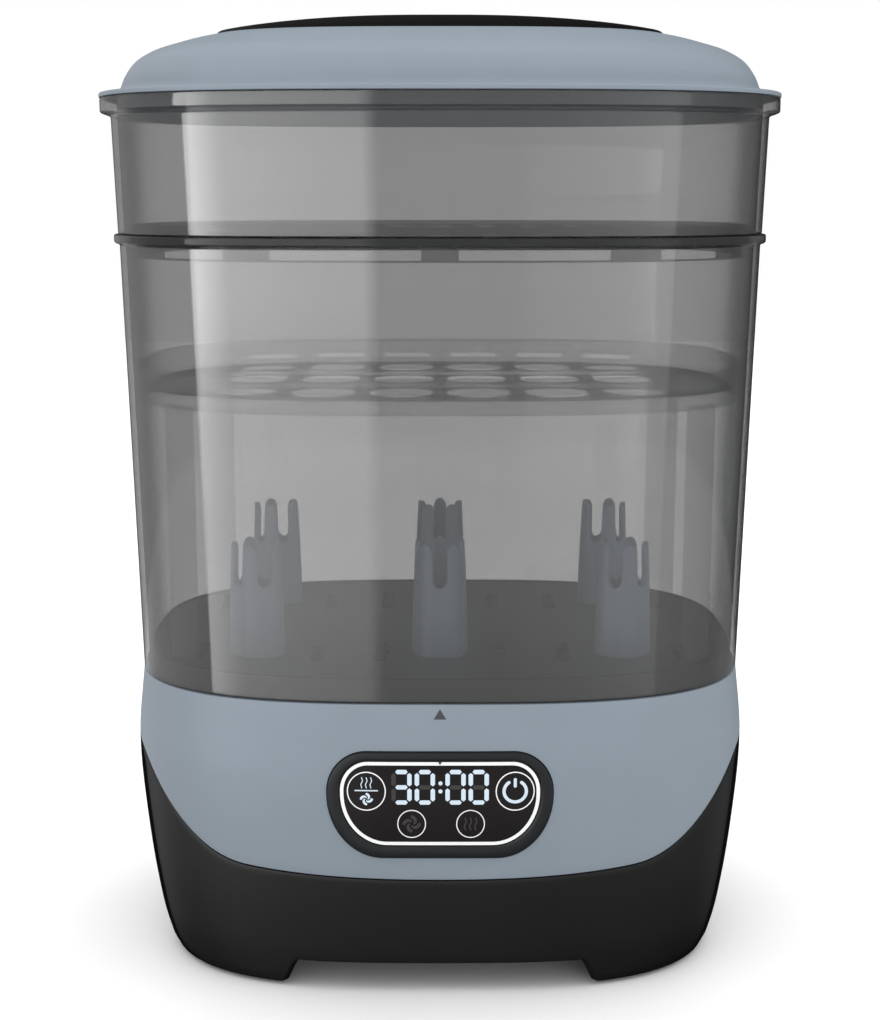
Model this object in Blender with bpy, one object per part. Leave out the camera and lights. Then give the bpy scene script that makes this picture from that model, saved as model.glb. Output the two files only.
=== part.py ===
"""Electric bottle steriliser and dryer: powered base, two clear tiers, trays and a domed lid.

Units are metres. +Z is up and the front faces -Y. Heights are counted from 4.5 mm above the
ground while the pieces are made, and at the end everything is lifted so the ground is z = 0.
"""
import math

import bmesh
import bpy

# ---------------------------------------------------------------- driving dimensions
DEPTH_RATIO = 0.71          # half depth over half width of every plan outline
PLAN_POWER = 3.0            # roundness of the plan outline (2 = ellipse, higher = squarer)
FIT = 0.0003                # gap between pieces that touch
WALL = 0.0025               # wall of the shells and tiers
BASE_POINTS = 64            # points around the outline of the base
TIER_POINTS = 48            # points around the outline of the tiers, trays and lid

# outer half width of the base against height
BASE_SIDE = [(-0.0033, 0.1197), (0.0000, 0.1217), (0.016, 0.1258), (0.050, 0.1305),
             (0.090, 0.1332), (0.122, 0.1304)]
GROUND = -0.0045            # height of the ground before everything is lifted
COVER_TOP = 0.1220          # top of the blue-grey base cover
SPLIT_FRONT = 0.047         # height of the cover's lower edge at the front
SPLIT_SIDE = 0.0925         # height of the cover's lower edge at the sides and back
ARCH_HALF = 0.0670          # half width of the arch between the feet
ARCH_TOP = 0.0088           # height of that arch

DECK_FLOOR = 0.1180         # top of the deck floor
UPSTAND_TOP = 0.1314        # top of the deck's upright rim
RACK_TOP = 0.1310           # top of the bottle rack

LOWER_BOTTOM = 0.1223
LOWER_TOP = 0.3065          # top of the ring where the tiers meet
UPPER_BOTTOM = 0.3068
UPPER_TOP = 0.3610
LID_BOTTOM = 0.3613
MID_FLOOR = 0.2435          # top of the middle tray floor
TOP_FLOOR = 0.3083          # top of the top tray floor

POST_X = 0.077              # spacing of the bottle posts across
POST_Y = 0.046              # distance of each row from the middle
POST_HEIGHT = 0.0480
POST_RADIUS = 0.0122

PANEL_Z = 0.0811            # middle of the control panel
BEZEL = (0.0457, 0.0216, 0.0237, (0.0160, 0.0168), (0.0225, 0.0272))
GLASS = (0.0404, 0.0177, 0.0179, (0.0113, 0.0122), (0.0190, 0.0220))
HEATER_X = 0.030            # middle of the heating plate
HEATER_RADIUS = 0.050
FAN_X = -0.072              # middle of the blower
FAN_Y = 0.012
INLET_X = 0.030             # middle of the power inlet in the back

# ---------------------------------------------------------------- materials
PALETTE = {
    "blue_grey_plastic": ((0.300, 0.352, 0.402), 0.42, 0.0),
    "black_plastic": ((0.015, 0.015, 0.016), 0.45, 0.0),
    "smoke_tier": ((0.20, 0.20, 0.20), 0.08, 0.0),
    "clear_tray": ((0.36, 0.37, 0.37), 0.12, 0.0),
    "dark_tray": ((0.045, 0.046, 0.048), 0.22, 0.0),
    "bezel_gloss": ((0.030, 0.034, 0.037), 0.20, 0.0),
    "panel_glass": ((0.010, 0.009, 0.010), 0.06, 0.0),
    "display_plastic": ((0.050, 0.050, 0.050), 0.50, 0.0),
    "circuit_board": ((0.020, 0.110, 0.050), 0.55, 0.0),
    "stainless": ((0.600, 0.600, 0.590), 0.28, 1.0),
    "heater_steel": ((0.330, 0.320, 0.310), 0.45, 1.0),
    "silicone": ((0.500, 0.500, 0.480), 0.70, 0.0),
    "rubber": ((0.020, 0.020, 0.020), 0.85, 0.0),
    "sponge": ((0.060, 0.060, 0.062), 0.95, 0.0),
    "nickel": ((0.550, 0.540, 0.520), 0.30, 1.0),
    "motor_steel": ((0.420, 0.420, 0.420), 0.40, 1.0),
    "winding_wrap": ((0.520, 0.330, 0.050), 0.60, 0.0),
}


def clear_scene():
    for item in list(bpy.data.objects):
        bpy.data.objects.remove(item, do_unlink=True)


def material(name):
    found = bpy.data.materials.get(name)
    if found:
        return found
    colour, rough, metal = PALETTE[name]
    made = bpy.data.materials.new(name)
    made.use_nodes = True
    shader = made.node_tree.nodes["Principled BSDF"]
    shader.inputs["Base Color"].default_value = (*colour, 1.0)
    shader.inputs["Roughness"].default_value = rough
    shader.inputs["Metallic"].default_value = metal
    made.diffuse_color = (*colour, 1.0)
    return made


def make_object(name, verts, faces, mat, sharp=35.0):
    """Turn points and faces into a named object with outward normals and smooth rounds."""
    mesh = bpy.data.meshes.new(name)
    work = bmesh.new()
    points = [work.verts.new(v) for v in verts]
    for face in faces:
        work.faces.new([points[i] for i in face])
    bmesh.ops.recalc_face_normals(work, faces=work.faces)
    if work.calc_volume(signed=True) < 0.0:
        bmesh.ops.reverse_faces(work, faces=work.faces)
    limit = math.radians(sharp)
    for edge in work.edges:
        edge.smooth = edge.calc_face_angle(0.0) < limit
    for face in work.faces:
        face.smooth = True
    work.to_mesh(mesh)
    work.free()
    mesh.materials.append(material(mat))
    made = bpy.data.objects.new(name, mesh)
    bpy.context.scene.collection.objects.link(made)
    return made


def move_origin(item, x, y, z):
    """Put the object's origin at a point without moving its surface."""
    for vert in item.data.vertices:
        vert.co.x -= x
        vert.co.y -= y
        vert.co.z -= z
    item.location = (x, y, z)


# ---------------------------------------------------------------- plan outline
def plan_radius(angle, a, b):
    c = abs(math.cos(angle)) / a
    s = abs(math.sin(angle)) / b
    return (c ** PLAN_POWER + s ** PLAN_POWER) ** (-1.0 / PLAN_POWER)


def even_angles(count):
    """Angles that space points evenly along the plan outline, starting at +X."""
    fine = 4000
    total = [0.0]
    last = None
    for i in range(fine + 1):
        t = 2.0 * math.pi * i / fine
        r = plan_radius(t, 1.0, DEPTH_RATIO)
        here = (r * math.cos(t), r * math.sin(t))
        if last is not None:
            total.append(total[-1] + math.dist(here, last))
        last = here
    angles = []
    k = 0
    for i in range(count):
        goal = total[-1] * i / count
        while total[k + 1] < goal:
            k += 1
        part = (goal - total[k]) / (total[k + 1] - total[k])
        angles.append(2.0 * math.pi * (k + part) / fine)
    return angles


def plan_ring(angles, half_width, inset, height):
    """One ring of points. Height and half width may be numbers or functions of the angle."""
    ring = []
    for t in angles:
        a = half_width(t) if callable(half_width) else half_width
        z = height(t) if callable(height) else height
        r = plan_radius(t, a - inset, a * DEPTH_RATIO - inset)
        ring.append((r * math.cos(t), r * math.sin(t), z))
    return ring


def bridge(rings, closed):
    """Join rings of equal length. closed=True makes a hollow band, False caps both ends."""
    verts = [v for ring in rings for v in ring]
    n = len(rings[0])
    faces = []
    last = len(rings) if closed else len(rings) - 1
    for k in range(last):
        low = k * n
        high = ((k + 1) % len(rings)) * n
        for i in range(n):
            j = (i + 1) % n
            faces.append((low + i, low + j, high + j, high + i))
    if not closed:
        faces.append(tuple(range(n))[::-1])
        faces.append(tuple(range((len(rings) - 1) * n, len(rings) * n)))
    return verts, faces


def band(name, angles, profile, mat, sharp=35.0):
    rings = [plan_ring(angles, a, inset, z) for a, inset, z in profile]
    verts, faces = bridge(rings, True)
    return make_object(name, verts, faces, mat, sharp)


def plate(name, angles, profile, mat, sharp=35.0):
    rings = [plan_ring(angles, a, inset, z) for a, inset, z in profile]
    verts, faces = bridge(rings, False)
    return make_object(name, verts, faces, mat, sharp)


def lathe(name, profile, mat, centre=(0.0, 0.0), closed=False, count=32, sharp=35.0):
    rings = []
    for r, z in profile:
        ring = []
        for i in range(count):
            t = 2.0 * math.pi * i / count
            ring.append((centre[0] + r * math.cos(t), centre[1] + r * math.sin(t), z))
        rings.append(ring)
    verts, faces = bridge(rings, closed)
    return make_object(name, verts, faces, mat, sharp)


def box(name, centre, size, mat, chamfer=0.0):
    """Block with an optional chamfer on its upright edges."""
    x, y = size[0] / 2.0, size[1] / 2.0
    c = chamfer
    if c > 0.0:
        plan = [(x - c, -y), (x, -y + c), (x, y - c), (x - c, y),
                (-x + c, y), (-x, y - c), (-x, -y + c), (-x + c, -y)]
    else:
        plan = [(x, -y), (x, y), (-x, y), (-x, -y)]
    rings = []
    for dz in (-size[2] / 2.0, size[2] / 2.0):
        rings.append([(centre[0] + px, centre[1] + py, centre[2] + dz) for px, py in plan])
    verts, faces = bridge(rings, False)
    return make_object(name, verts, faces, mat)


def cut(target, blocks, name):
    """Subtract a set of closed blocks, each given as (verts, faces), from an object."""
    verts = []
    faces = []
    for block_verts, block_faces in blocks:
        start = len(verts)
        verts.extend(block_verts)
        faces.extend([tuple(i + start for i in face) for face in block_faces])
    cutter = make_object(name, verts, faces, "black_plastic")
    cutter.hide_render = True
    cutter.display_type = "WIRE"
    tool = target.modifiers.new(name, "BOOLEAN")
    tool.operation = "DIFFERENCE"
    tool.solver = "EXACT"
    tool.object = cutter
    return cutter


def prism_up(outline, z0, z1):
    rings = [[(x, y, z0) for x, y in outline], [(x, y, z1) for x, y in outline]]
    return bridge(rings, False)


def prism_back(outline, y0, y1):
    """Prism along Y from an outline of (x, z) points that runs anticlockwise seen from -Y."""
    rings = [[(x, y0, z) for x, z in outline], [(x, y1, z) for x, z in outline]]
    return bridge(rings, False)


def slot_outline(x, y, length, width, along_y=True):
    """Slot with chamfered ends, centred on (x, y)."""
    h, w = length / 2.0, width / 2.0
    c = w * 0.6
    plan = [(w, -h + c), (w, h - c), (0.0, h), (-w, h - c), (-w, -h + c), (0.0, -h)]
    if along_y:
        return [(x + px, y + py) for px, py in plan]
    return [(x + py, y - px) for px, py in plan]


def opening_outline(x, y, width, depth):
    """Rectangle with chamfered corners, centred on (x, y)."""
    w, h, c = width / 2.0, depth / 2.0, 0.009
    plan = [(w - c, -h), (w, -h + c), (w, h - c), (w - c, h),
            (-w + c, h), (-w, h - c), (-w, -h + c), (-w + c, -h)]
    return [(x + px, y + py) for px, py in plan]


def circle_outline(x, y, r, count=24):
    step = 2.0 * math.pi / count
    return [(x + r * math.cos(i * step), y + r * math.sin(i * step)) for i in range(count)]


# ---------------------------------------------------------------- base shape
def base_half_width(z):
    """Outer half width of the base at a height, smoothly through the BASE_SIDE points."""
    pts = BASE_SIDE
    if z <= pts[0][0]:
        return pts[0][1]
    for k in range(len(pts) - 1):
        z0, a0 = pts[k]
        z1, a1 = pts[k + 1]
        if z <= z1:
            before = pts[k - 1] if k > 0 else pts[k]
            after = pts[k + 2] if k + 2 < len(pts) else pts[k + 1]
            m0 = (a1 - before[1]) / (z1 - before[0])
            m1 = (after[1] - a0) / (after[0] - z0)
            s = (z - z0) / (z1 - z0)
            d = z1 - z0
            return ((2 * s ** 3 - 3 * s ** 2 + 1) * a0 + (s ** 3 - 2 * s ** 2 + s) * d * m0
                    + (-2 * s ** 3 + 3 * s ** 2) * a1 + (s ** 3 - s ** 2) * d * m1)
    return pts[-1][1]


def split_rise(x):
    """Rise of the joint line against x: slow, then steep near the side, and level again."""
    steep = max(0.0, (x - 0.60) / 0.36) ** 2.4
    soft = steep / (1.0 + steep ** 8) ** 0.125
    slow = 0.22 * x ** 2
    return slow + (1.0 - slow) * soft


def split_height(t):
    """Height of the joint line between cover and housing: low in front, high at the sides."""
    if math.sin(t) >= 0.0:
        return SPLIT_SIDE
    x = abs(math.cos(t)) * plan_radius(t, 0.130, 0.130 * DEPTH_RATIO) / 0.130
    return SPLIT_FRONT + (SPLIT_SIDE - SPLIT_FRONT) * split_rise(x) / split_rise(1.0)


def arch_height(t):
    """Lower edge of the housing: lifted into an arch at the front and at the back."""
    x = abs(math.cos(t)) * plan_radius(t, 0.1197, 0.1197 * DEPTH_RATIO)
    if x > ARCH_HALF:
        return BASE_SIDE[0][0]
    s = min(1.0, (ARCH_HALF - x) / 0.010)
    ease = s * s * (3.0 - 2.0 * s)
    return BASE_SIDE[0][0] + (ARCH_TOP - BASE_SIDE[0][0]) * ease


def front_y(x, z, side=-1.0):
    """Y of the base's outer surface at (x, z) on the front (side=-1) or back (side=1)."""
    a = base_half_width(z)
    b = a * DEPTH_RATIO
    return side * b * (1.0 - (abs(x) / a) ** PLAN_POWER) ** (1.0 / PLAN_POWER)


def skin(name, outline, out, depth, mat, side=-1.0, rows=(1.0, 0.66, 0.33)):
    """Curved tile that follows the base surface inside an outline of (x, z) points."""
    cx = sum(p[0] for p in outline) / len(outline)
    cz = sum(p[1] for p in outline) / len(outline)
    verts = []
    n = len(outline)
    for offset, scales in ((out, rows[::-1]), (out - depth, rows)):
        for s in scales:
            for x, z in outline:
                px = cx + (x - cx) * s
                pz = cz + (z - cz) * s
                verts.append((px, front_y(px, pz, side) + side * offset, pz))
    faces = []
    count = 2 * len(rows)
    for k in range(count - 1):
        for i in range(n):
            j = (i + 1) % n
            faces.append((k * n + i, k * n + j, (k + 1) * n + j, (k + 1) * n + i))
    verts.append((cx, front_y(cx, cz, side) + side * out, cz))
    verts.append((cx, front_y(cx, cz, side) + side * (out - depth), cz))
    for i in range(n):
        j = (i + 1) % n
        faces.append((i, j, count * n))
        faces.append(((count - 1) * n + j, (count - 1) * n + i, count * n + 1))
    return make_object(name, verts, faces, mat)


def skin_frame(name, outer, inner, out, depth, mat, side=-1.0):
    """Curved frame between two outlines that have the same number of points."""
    rings = []
    for outline, offset in ((outer, out - 0.0006), (outer, out), (inner, out),
                            (inner, out - depth), (outer, out - depth)):
        shrink = 0.985 if (outline is outer and offset == out) else 1.0
        cx = sum(p[0] for p in outline) / len(outline)
        cz = sum(p[1] for p in outline) / len(outline)
        ring = []
        for x, z in outline:
            px = cx + (x - cx) * shrink
            pz = cz + (z - cz) * shrink
            ring.append((px, front_y(px, pz, side) + side * offset, pz))
        rings.append(ring)
    verts, faces = bridge(rings, True)
    return make_object(name, verts, faces, mat)


def shield_outline(cx, cz, half, top, bottom, r_top, r_bottom, count=48, grow=0.0):
    """Wide outline with elliptic corners, each given as (radius in x, radius in z)."""
    half += grow
    top += grow
    bottom += grow
    tx, tz = r_top[0] + grow, r_top[1] + grow
    bx, bz = r_bottom[0] + grow, r_bottom[1] + grow
    points = []
    corners = [(half - bx, -bottom + bz, bx, bz, -90.0), (half - tx, top - tz, tx, tz, 0.0),
               (-half + tx, top - tz, tx, tz, 90.0), (-half + bx, -bottom + bz, bx, bz, 180.0)]
    per = count // 4
    for x, z, rx, rz, start in corners:
        for i in range(per):
            t = math.radians(start + 90.0 * i / (per - 1))
            points.append((cx + x + rx * math.cos(t), cz + z + rz * math.sin(t)))
    return points


# ---------------------------------------------------------------- base
def build_base():
    ring = even_angles(BASE_POINTS)
    levels = [0.0, 0.12, 0.35, 0.68, 1.0]

    # black housing: outer wall up to the joint line, inner wall, and a ledge for the floor
    profile = []
    for f in levels:
        def height(t, f=f):
            low = arch_height(t)
            return low + (split_height(t) - FIT / 2.0 - low) * f

        def half(t, f=f):
            low = arch_height(t)
            return base_half_width(low + (split_height(t) - FIT / 2.0 - low) * f)
        profile.append((half, 0.0, height))

    def top_half(t):
        return base_half_width(split_height(t))

    def top_height(t):
        return split_height(t) - FIT / 2.0
    profile.append((top_half, WALL, top_height))
    profile.append((base_half_width(0.030), WALL, 0.030))
    profile.append((base_half_width(0.016), WALL, 0.0160))
    profile.append((base_half_width(0.016), WALL + 0.007, 0.0160))
    profile.append((base_half_width(0.016), WALL + 0.007, 0.0136))
    profile.append((base_half_width(0.0136), WALL, 0.0136))

    def arch_half(t):
        return base_half_width(arch_height(t))
    profile.append((arch_half, WALL, arch_height))
    housing = band("base_housing", ring, profile, "black_plastic")

    # openings in the back of the housing for the air filter and the power inlet
    vent = shield_outline(-0.060, 0.052, 0.030, 0.020, 0.020, (0.005, 0.005), (0.005, 0.005),
                          20, FIT)
    inlet = shield_outline(INLET_X, 0.040, 0.0155, 0.0115, 0.0115, (0.0001, 0.0001),
                           (0.0001, 0.0001), 8, FIT)
    cut(housing, [prism_back(vent, 0.070, 0.110), prism_back(inlet, 0.060, 0.110)],
        "cut_housing_back")

    # blue-grey cover: outer wall from the joint line to the tier seat
    profile = []
    for f in (0.0, 0.33, 0.66, 0.95):
        def height(t, f=f):
            low = split_height(t) + FIT / 2.0
            return low + (0.1208 - low) * f

        def half(t, f=f):
            low = split_height(t) + FIT / 2.0
            return base_half_width(low + (0.1208 - low) * f)
        profile.append((half, 0.0, height))
    profile.append((0.1304, 0.0002, 0.1214))
    profile.append((0.1304, 0.0010, COVER_TOP))
    profile.append((0.1304, WALL, COVER_TOP))
    profile.append((0.1304, WALL, 0.1150))

    def lower_half(t):
        return base_half_width(split_height(t))

    def lower_height(t):
        return split_height(t) + FIT / 2.0
    profile.append((lower_half, WALL, lower_height))
    cover = band("base_cover", ring, profile, "blue_grey_plastic")
    window = shield_outline(0.0, PANEL_Z, *BEZEL, 40, FIT)
    cut(cover, [prism_back(window, -0.110, -0.070)], "cut_cover_window")

    # deck: floor with an upright rim that locates the lower tier
    coarse = even_angles(TIER_POINTS)
    rim = 0.1302
    deck = plate("base_deck", coarse, [
        (rim, 0.0045, 0.1155), (rim, WALL + 0.0006, 0.1155), (rim, WALL + 0.0006, UPSTAND_TOP - 0.0008),
        (rim, WALL + 0.0012, UPSTAND_TOP), (rim, 0.0048, UPSTAND_TOP),
        (rim, 0.0052, DECK_FLOOR)], "black_plastic")
    well = circle_outline(HEATER_X, 0.0, HEATER_RADIUS + 0.0015, 40)
    duct = circle_outline(FAN_X, FAN_Y, 0.0150, 24)
    cut(deck, [prism_up(well, 0.110, 0.125), prism_up(duct, 0.110, 0.125)], "cut_deck_openings")

    # floor plate, feet and screws
    floor = plate("bottom_cover", coarse, [
        (0.1208, WALL + FIT, 0.0110), (0.1208, WALL + FIT, 0.0133)], "black_plastic")
    slots = []
    for i in range(7):
        slots.append(prism_up(slot_outline(FAN_X + (i - 3) * 0.006, 0.0, 0.036, 0.003),
                              0.008, 0.016))
    cut(floor, slots, "cut_floor_slots")
    number = 0
    for x in (-0.082, 0.082):
        for y in (-0.052, 0.052):
            number += 1
            lathe(f"rubber_foot_{number}", [(0.0070, GROUND), (0.0078, GROUND + 0.0008), (0.0078, 0.0107)],
                  "rubber", (x, y), count=20)
            lathe(f"bottom_screw_{number}", [(0.0022, 0.0088), (0.0030, 0.0094),
                                             (0.0030, 0.0107)], "nickel",
                  (x * 1.20, y * 0.45), count=12)


def build_panel():
    outer = shield_outline(0.0, PANEL_Z, *BEZEL, 40)
    gap = shield_outline(0.0, PANEL_Z, *GLASS, 40, FIT)
    skin_frame("control_bezel", outer, gap, 0.0010, 0.0060, "bezel_gloss")
    pane = shield_outline(0.0, PANEL_Z, *GLASS, 40)
    skin("control_glass", pane, 0.0006, 0.0020, "panel_glass", -1.0, (1.0, 0.5))
    box("display_module", (0.0, -0.0890, PANEL_Z + 0.0065), (0.046, 0.0060, 0.0170),
        "display_plastic")
    box("display_board", (0.0, -0.0845, PANEL_Z), (0.076, 0.0016, 0.0320), "circuit_board")


def torus_arc(name, centre, major, minor, gap_angle, mat):
    """Open ring of tube lying flat, with its gap towards the back."""
    rings = []
    start = math.radians(90.0 + gap_angle / 2.0)
    sweep = math.radians(360.0 - gap_angle)
    for k in range(21):
        t = start + sweep * k / 20.0
        ring = []
        for i in range(8):
            u = 2.0 * math.pi * i / 8
            r = major + minor * math.cos(u)
            ring.append((centre[0] + r * math.cos(t), centre[1] + r * math.sin(t),
                         centre[2] + minor * math.sin(u)))
        rings.append(ring)
    verts, faces = bridge(rings, False)
    return make_object(name, verts, faces, mat, 60.0)


def build_heater():
    c = (HEATER_X, 0.0)
    r = HEATER_RADIUS
    lathe("plate_seal", [(r + 0.0020, 0.1183), (r + 0.0050, 0.1183), (r + 0.0050, 0.1198),
                         (r + 0.0020, 0.1198)], "silicone", c, True, 32)
    lathe("heating_plate", [(r - 0.004, 0.1080), (r - 0.001, 0.1095), (r + 0.0002, 0.1201),
                            (r + 0.0045, 0.1201), (r + 0.0045, 0.1211), (r - 0.0006, 0.1211),
                            (r - 0.002, 0.1103), (r - 0.005, 0.1090)],
          "stainless", c, False, 32, 30.0)
    torus_arc("heating_element", (HEATER_X, 0.0, 0.1042), 0.032, 0.0035, 40.0, "heater_steel")
    lathe("thermostat", [(0.0060, 0.0985), (0.0060, 0.1010), (0.0085, 0.1010),
                         (0.0085, 0.1077)], "nickel", c, count=20)


def build_blower():
    c = (FAN_X, FAN_Y)
    lathe("fan_motor", [(0.0150, 0.0300), (0.0160, 0.0310), (0.0160, 0.0580), (0.0150, 0.0590),
                        (0.0016, 0.0590), (0.0016, 0.0650)], "motor_steel", c, count=24)
    lathe("fan_housing", [(0.0170, 0.0600), (0.0340, 0.0600), (0.0340, 0.0950),
                          (0.0150, 0.0950), (0.0150, 0.0925), (0.0315, 0.0925),
                          (0.0315, 0.0625), (0.0170, 0.0625)], "black_plastic", c, True, 32)
    lathe("air_duct", [(0.0125, 0.0953), (0.0150, 0.0953), (0.0150, 0.1100), (0.0142, 0.1170),
                       (0.0120, 0.1170), (0.0125, 0.1100)], "black_plastic", c, True, 24)
    blades = 14
    outline = []
    for i in range(blades):
        t = 2.0 * math.pi * i / blades
        lead = 0.012
        for r, off in ((0.0120, -0.10), (0.0270, -0.045 + lead * 8), (0.0270, 0.045 + lead * 8),
                       (0.0120, 0.10)):
            outline.append((FAN_X + r * math.cos(t + off), FAN_Y + r * math.sin(t + off)))
    verts, faces = prism_up(outline, 0.0655, 0.0890)
    wheel = make_object("fan_impeller", verts, faces, "black_plastic")
    move_origin(wheel, FAN_X, FAN_Y, 0.0770)


def build_rear():
    vent = shield_outline(-0.060, 0.052, 0.030, 0.020, 0.020, (0.005, 0.005), (0.005, 0.005), 20)
    cover = skin("filter_cover", vent, 0.0, 0.0022, "black_plastic", 1.0, (1.0, 0.5))
    slots = []
    for i in range(6):
        z = 0.052 + (i - 2.5) * 0.0058
        outline = [(-0.083, z - 0.0012), (-0.037, z - 0.0012), (-0.037, z + 0.0012),
                   (-0.083, z + 0.0012)]
        slots.append(prism_back(outline, 0.070, 0.110))
    cut(cover, slots, "cut_filter_slots")
    box("air_filter", (-0.058, 0.0745, 0.052), (0.046, 0.0060, 0.034), "sponge")

    block = box("power_inlet", (INLET_X, 0.0798, 0.040), (0.031, 0.0190, 0.023), "black_plastic")
    pocket = shield_outline(INLET_X, 0.040, 0.0120, 0.0080, 0.0080, (0.002, 0.002),
                            (0.002, 0.002), 16)
    cut(block, [prism_back(pocket, 0.0758, 0.1000)], "cut_inlet_pocket")
    for i, (x, z) in enumerate(((-0.0065, -0.0015), (0.0, 0.0025), (0.0065, -0.0015))):
        box(f"inlet_pin_{i + 1}", (INLET_X + x, 0.0801, 0.040 + z), (0.0018, 0.0080, 0.0040),
            "nickel")
    box("power_board", (0.066, 0.020, 0.0280), (0.060, 0.050, 0.0016), "circuit_board")
    box("power_transformer", (0.075, 0.012, 0.0402), (0.024, 0.022, 0.0220), "winding_wrap",
        0.002)


# ---------------------------------------------------------------- rack and posts
def build_rack():
    coarse = even_angles(TIER_POINTS)
    rim = 0.1302
    rack = plate("bottle_rack", coarse, [
        (rim, 0.0082, 0.1282), (rim, 0.0076, 0.1183), (rim, 0.0057, 0.1183),
        (rim, 0.0056, 0.1300), (rim, 0.0064, RACK_TOP)], "dark_tray")
    blocks = []
    for column in (-1, 0, 1):
        for row in (-1, 1):
            hole = circle_outline(column * POST_X, row * POST_Y, 0.0075, 16)
            blocks.append(prism_up(hole, 0.120, 0.135))
            for side in (-1, 1):
                slot = slot_outline(column * POST_X + side * 0.025, row * POST_Y, 0.030, 0.006)
                blocks.append(prism_up(slot, 0.120, 0.135))
    cut(rack, blocks, "cut_rack_openings")


def build_post(number, x, y):
    """Round post with five rounded fingers, a gap to the front, plugged into the rack."""
    fingers = 5
    lean = 0.0016
    base = RACK_TOP + FIT
    slot_floor = base + 0.0280
    tip = base + POST_HEIGHT
    half = math.radians(19.0)
    turn = -24.0 * (x > 0.001) + 24.0 * (x < -0.001)
    samples = []
    for k in range(fingers):
        middle = math.radians(90.0 + turn + 360.0 * k / fingers)
        for u in (-1.0, -0.80, 0.0, 0.80, 1.0):
            top = tip - 0.0060 * (1.0 - math.sqrt(max(0.0, 1.0 - u * u)))
            if abs(u) == 1.0:
                top = slot_floor + 0.0004
            samples.append((middle + u * half, top))

    def column(r_base, r_tip, fraction):
        ring = []
        low = slot_floor - 0.0015
        for t, top in samples:
            z = low + (top - low) * fraction
            s = max(0.0, (z - base) / POST_HEIGHT)
            r = r_base + (r_tip - r_base) * s ** 1.5
            ring.append((x + r * math.cos(t), y + r * math.sin(t), z))
        return ring

    def flat(r, z):
        return [(x + r * math.cos(t), y + r * math.sin(t), z) for t, _ in samples]
    radius = POST_RADIUS
    rings = [flat(0.0070, RACK_TOP - 0.0022), flat(0.0071, base), flat(radius - 0.0006, base),
             column(radius, radius - lean, 0.0), column(radius, radius - lean, 0.55),
             column(radius, radius - lean, 1.0),
             column(radius - 0.0020, radius - lean - 0.0018, 1.0),
             column(radius - 0.0026, radius - lean - 0.0024, 0.0),
             flat(radius - 0.0030, base + 0.0030)]
    verts, faces = bridge(rings, False)
    made = make_object(f"bottle_post_{number}", verts, faces, "blue_grey_plastic", 45.0)
    move_origin(made, x, y, base)


# ---------------------------------------------------------------- tiers, trays and lid
def lower_half_width(z):
    s = (z - LOWER_BOTTOM) / (0.3023 - LOWER_BOTTOM)
    return 0.1304 + (0.1348 - 0.1304) * s


def build_tiers():
    ring = even_angles(TIER_POINTS)
    foot = 0.1304
    top = 0.1348
    lower = band("lower_body", ring, [
        (foot, 0.0, LOWER_BOTTOM), (top, 0.0, 0.3023), (0.1368, 0.0, 0.3032),
        (0.1370, 0.0, 0.3060), (0.1366, 0.0, LOWER_TOP), (top, 0.0042, LOWER_TOP),
        (top, 0.0042, 0.3040), (top, WALL, 0.3020), (foot, WALL, LOWER_BOTTOM)],
        "smoke_tier", 25.0)
    upper = band("upper_body", ring, [
        (0.1353, 0.0, UPPER_BOTTOM), (0.1367, 0.0, 0.3540), (0.1409, 0.0, 0.3556),
        (0.1409, 0.0, 0.3606), (0.1405, 0.0, UPPER_TOP), (0.1367, WALL, UPPER_TOP),
        (0.1366, WALL, 0.3540), (0.1353, WALL, UPPER_BOTTOM)], "smoke_tier", 25.0)
    return lower, upper


def leg_depth(t):
    """Lower edge of the middle tray: four legs near the corners reach down to the rack."""
    a = math.degrees(math.atan2(abs(math.sin(t)), abs(math.cos(t))))
    if 26.0 < a < 33.5:
        return RACK_TOP + FIT
    return 0.2379


def leg_half(t):
    return 0.1292 if leg_depth(t) < 0.2 else 0.1332


def build_trays():
    ring = even_angles(TIER_POINTS)
    ref = 0.1332
    tray = plate("middle_tray", ring, [
        (ref, 0.0075, 0.2417), (leg_half, 0.0068, leg_depth), (leg_half, 0.0047, leg_depth),
        (ref, 0.0044, 0.2397), (ref, 0.0038, 0.2520), (ref, 0.0042, 0.2525),
        (ref, 0.0056, 0.2525), (ref, 0.0060, 0.2519), (ref, 0.0064, MID_FLOOR)],
        "clear_tray", 40.0)
    blocks = []
    for i in range(6):
        outer = i in (0, 5)
        for j in (-1, 0, 1):
            reach = 0.036 if outer and j != 0 else 0.044
            y = j * (0.0480 if outer else 0.0510)
            blocks.append(prism_up(opening_outline((i - 2.5) * 0.0320, y, 0.0260, reach),
                                   0.2380, 0.2480))
    cut(tray, blocks, "cut_middle_tray_slots")

    ref = 0.1348
    shelf = plate("top_tray", ring, [
        (ref, 0.0092, 0.3060), (ref, 0.0088, 0.2970), (ref, 0.0070, 0.2970),
        (ref, 0.0066, 0.3068), (0.1353, 0.0030, 0.3068), (0.1353, 0.0030, 0.3080),
        (0.1353, 0.0048, 0.3084), (0.1353, 0.0052, 0.3101), (0.1353, 0.0066, 0.3101),
        (0.1353, 0.0072, TOP_FLOOR)], "dark_tray", 40.0)
    blocks = []
    for i in range(-5, 6):
        for y in (-0.037, 0.037):
            length = 0.068 - 0.014 * max(0, abs(i) - 3)
            slot = slot_outline(i * 0.0205, y * (length + 0.006) / 0.074, length, 0.0090)
            blocks.append(prism_up(slot, 0.3010, 0.3130))
    cut(shelf, blocks, "cut_top_tray_slots")


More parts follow.
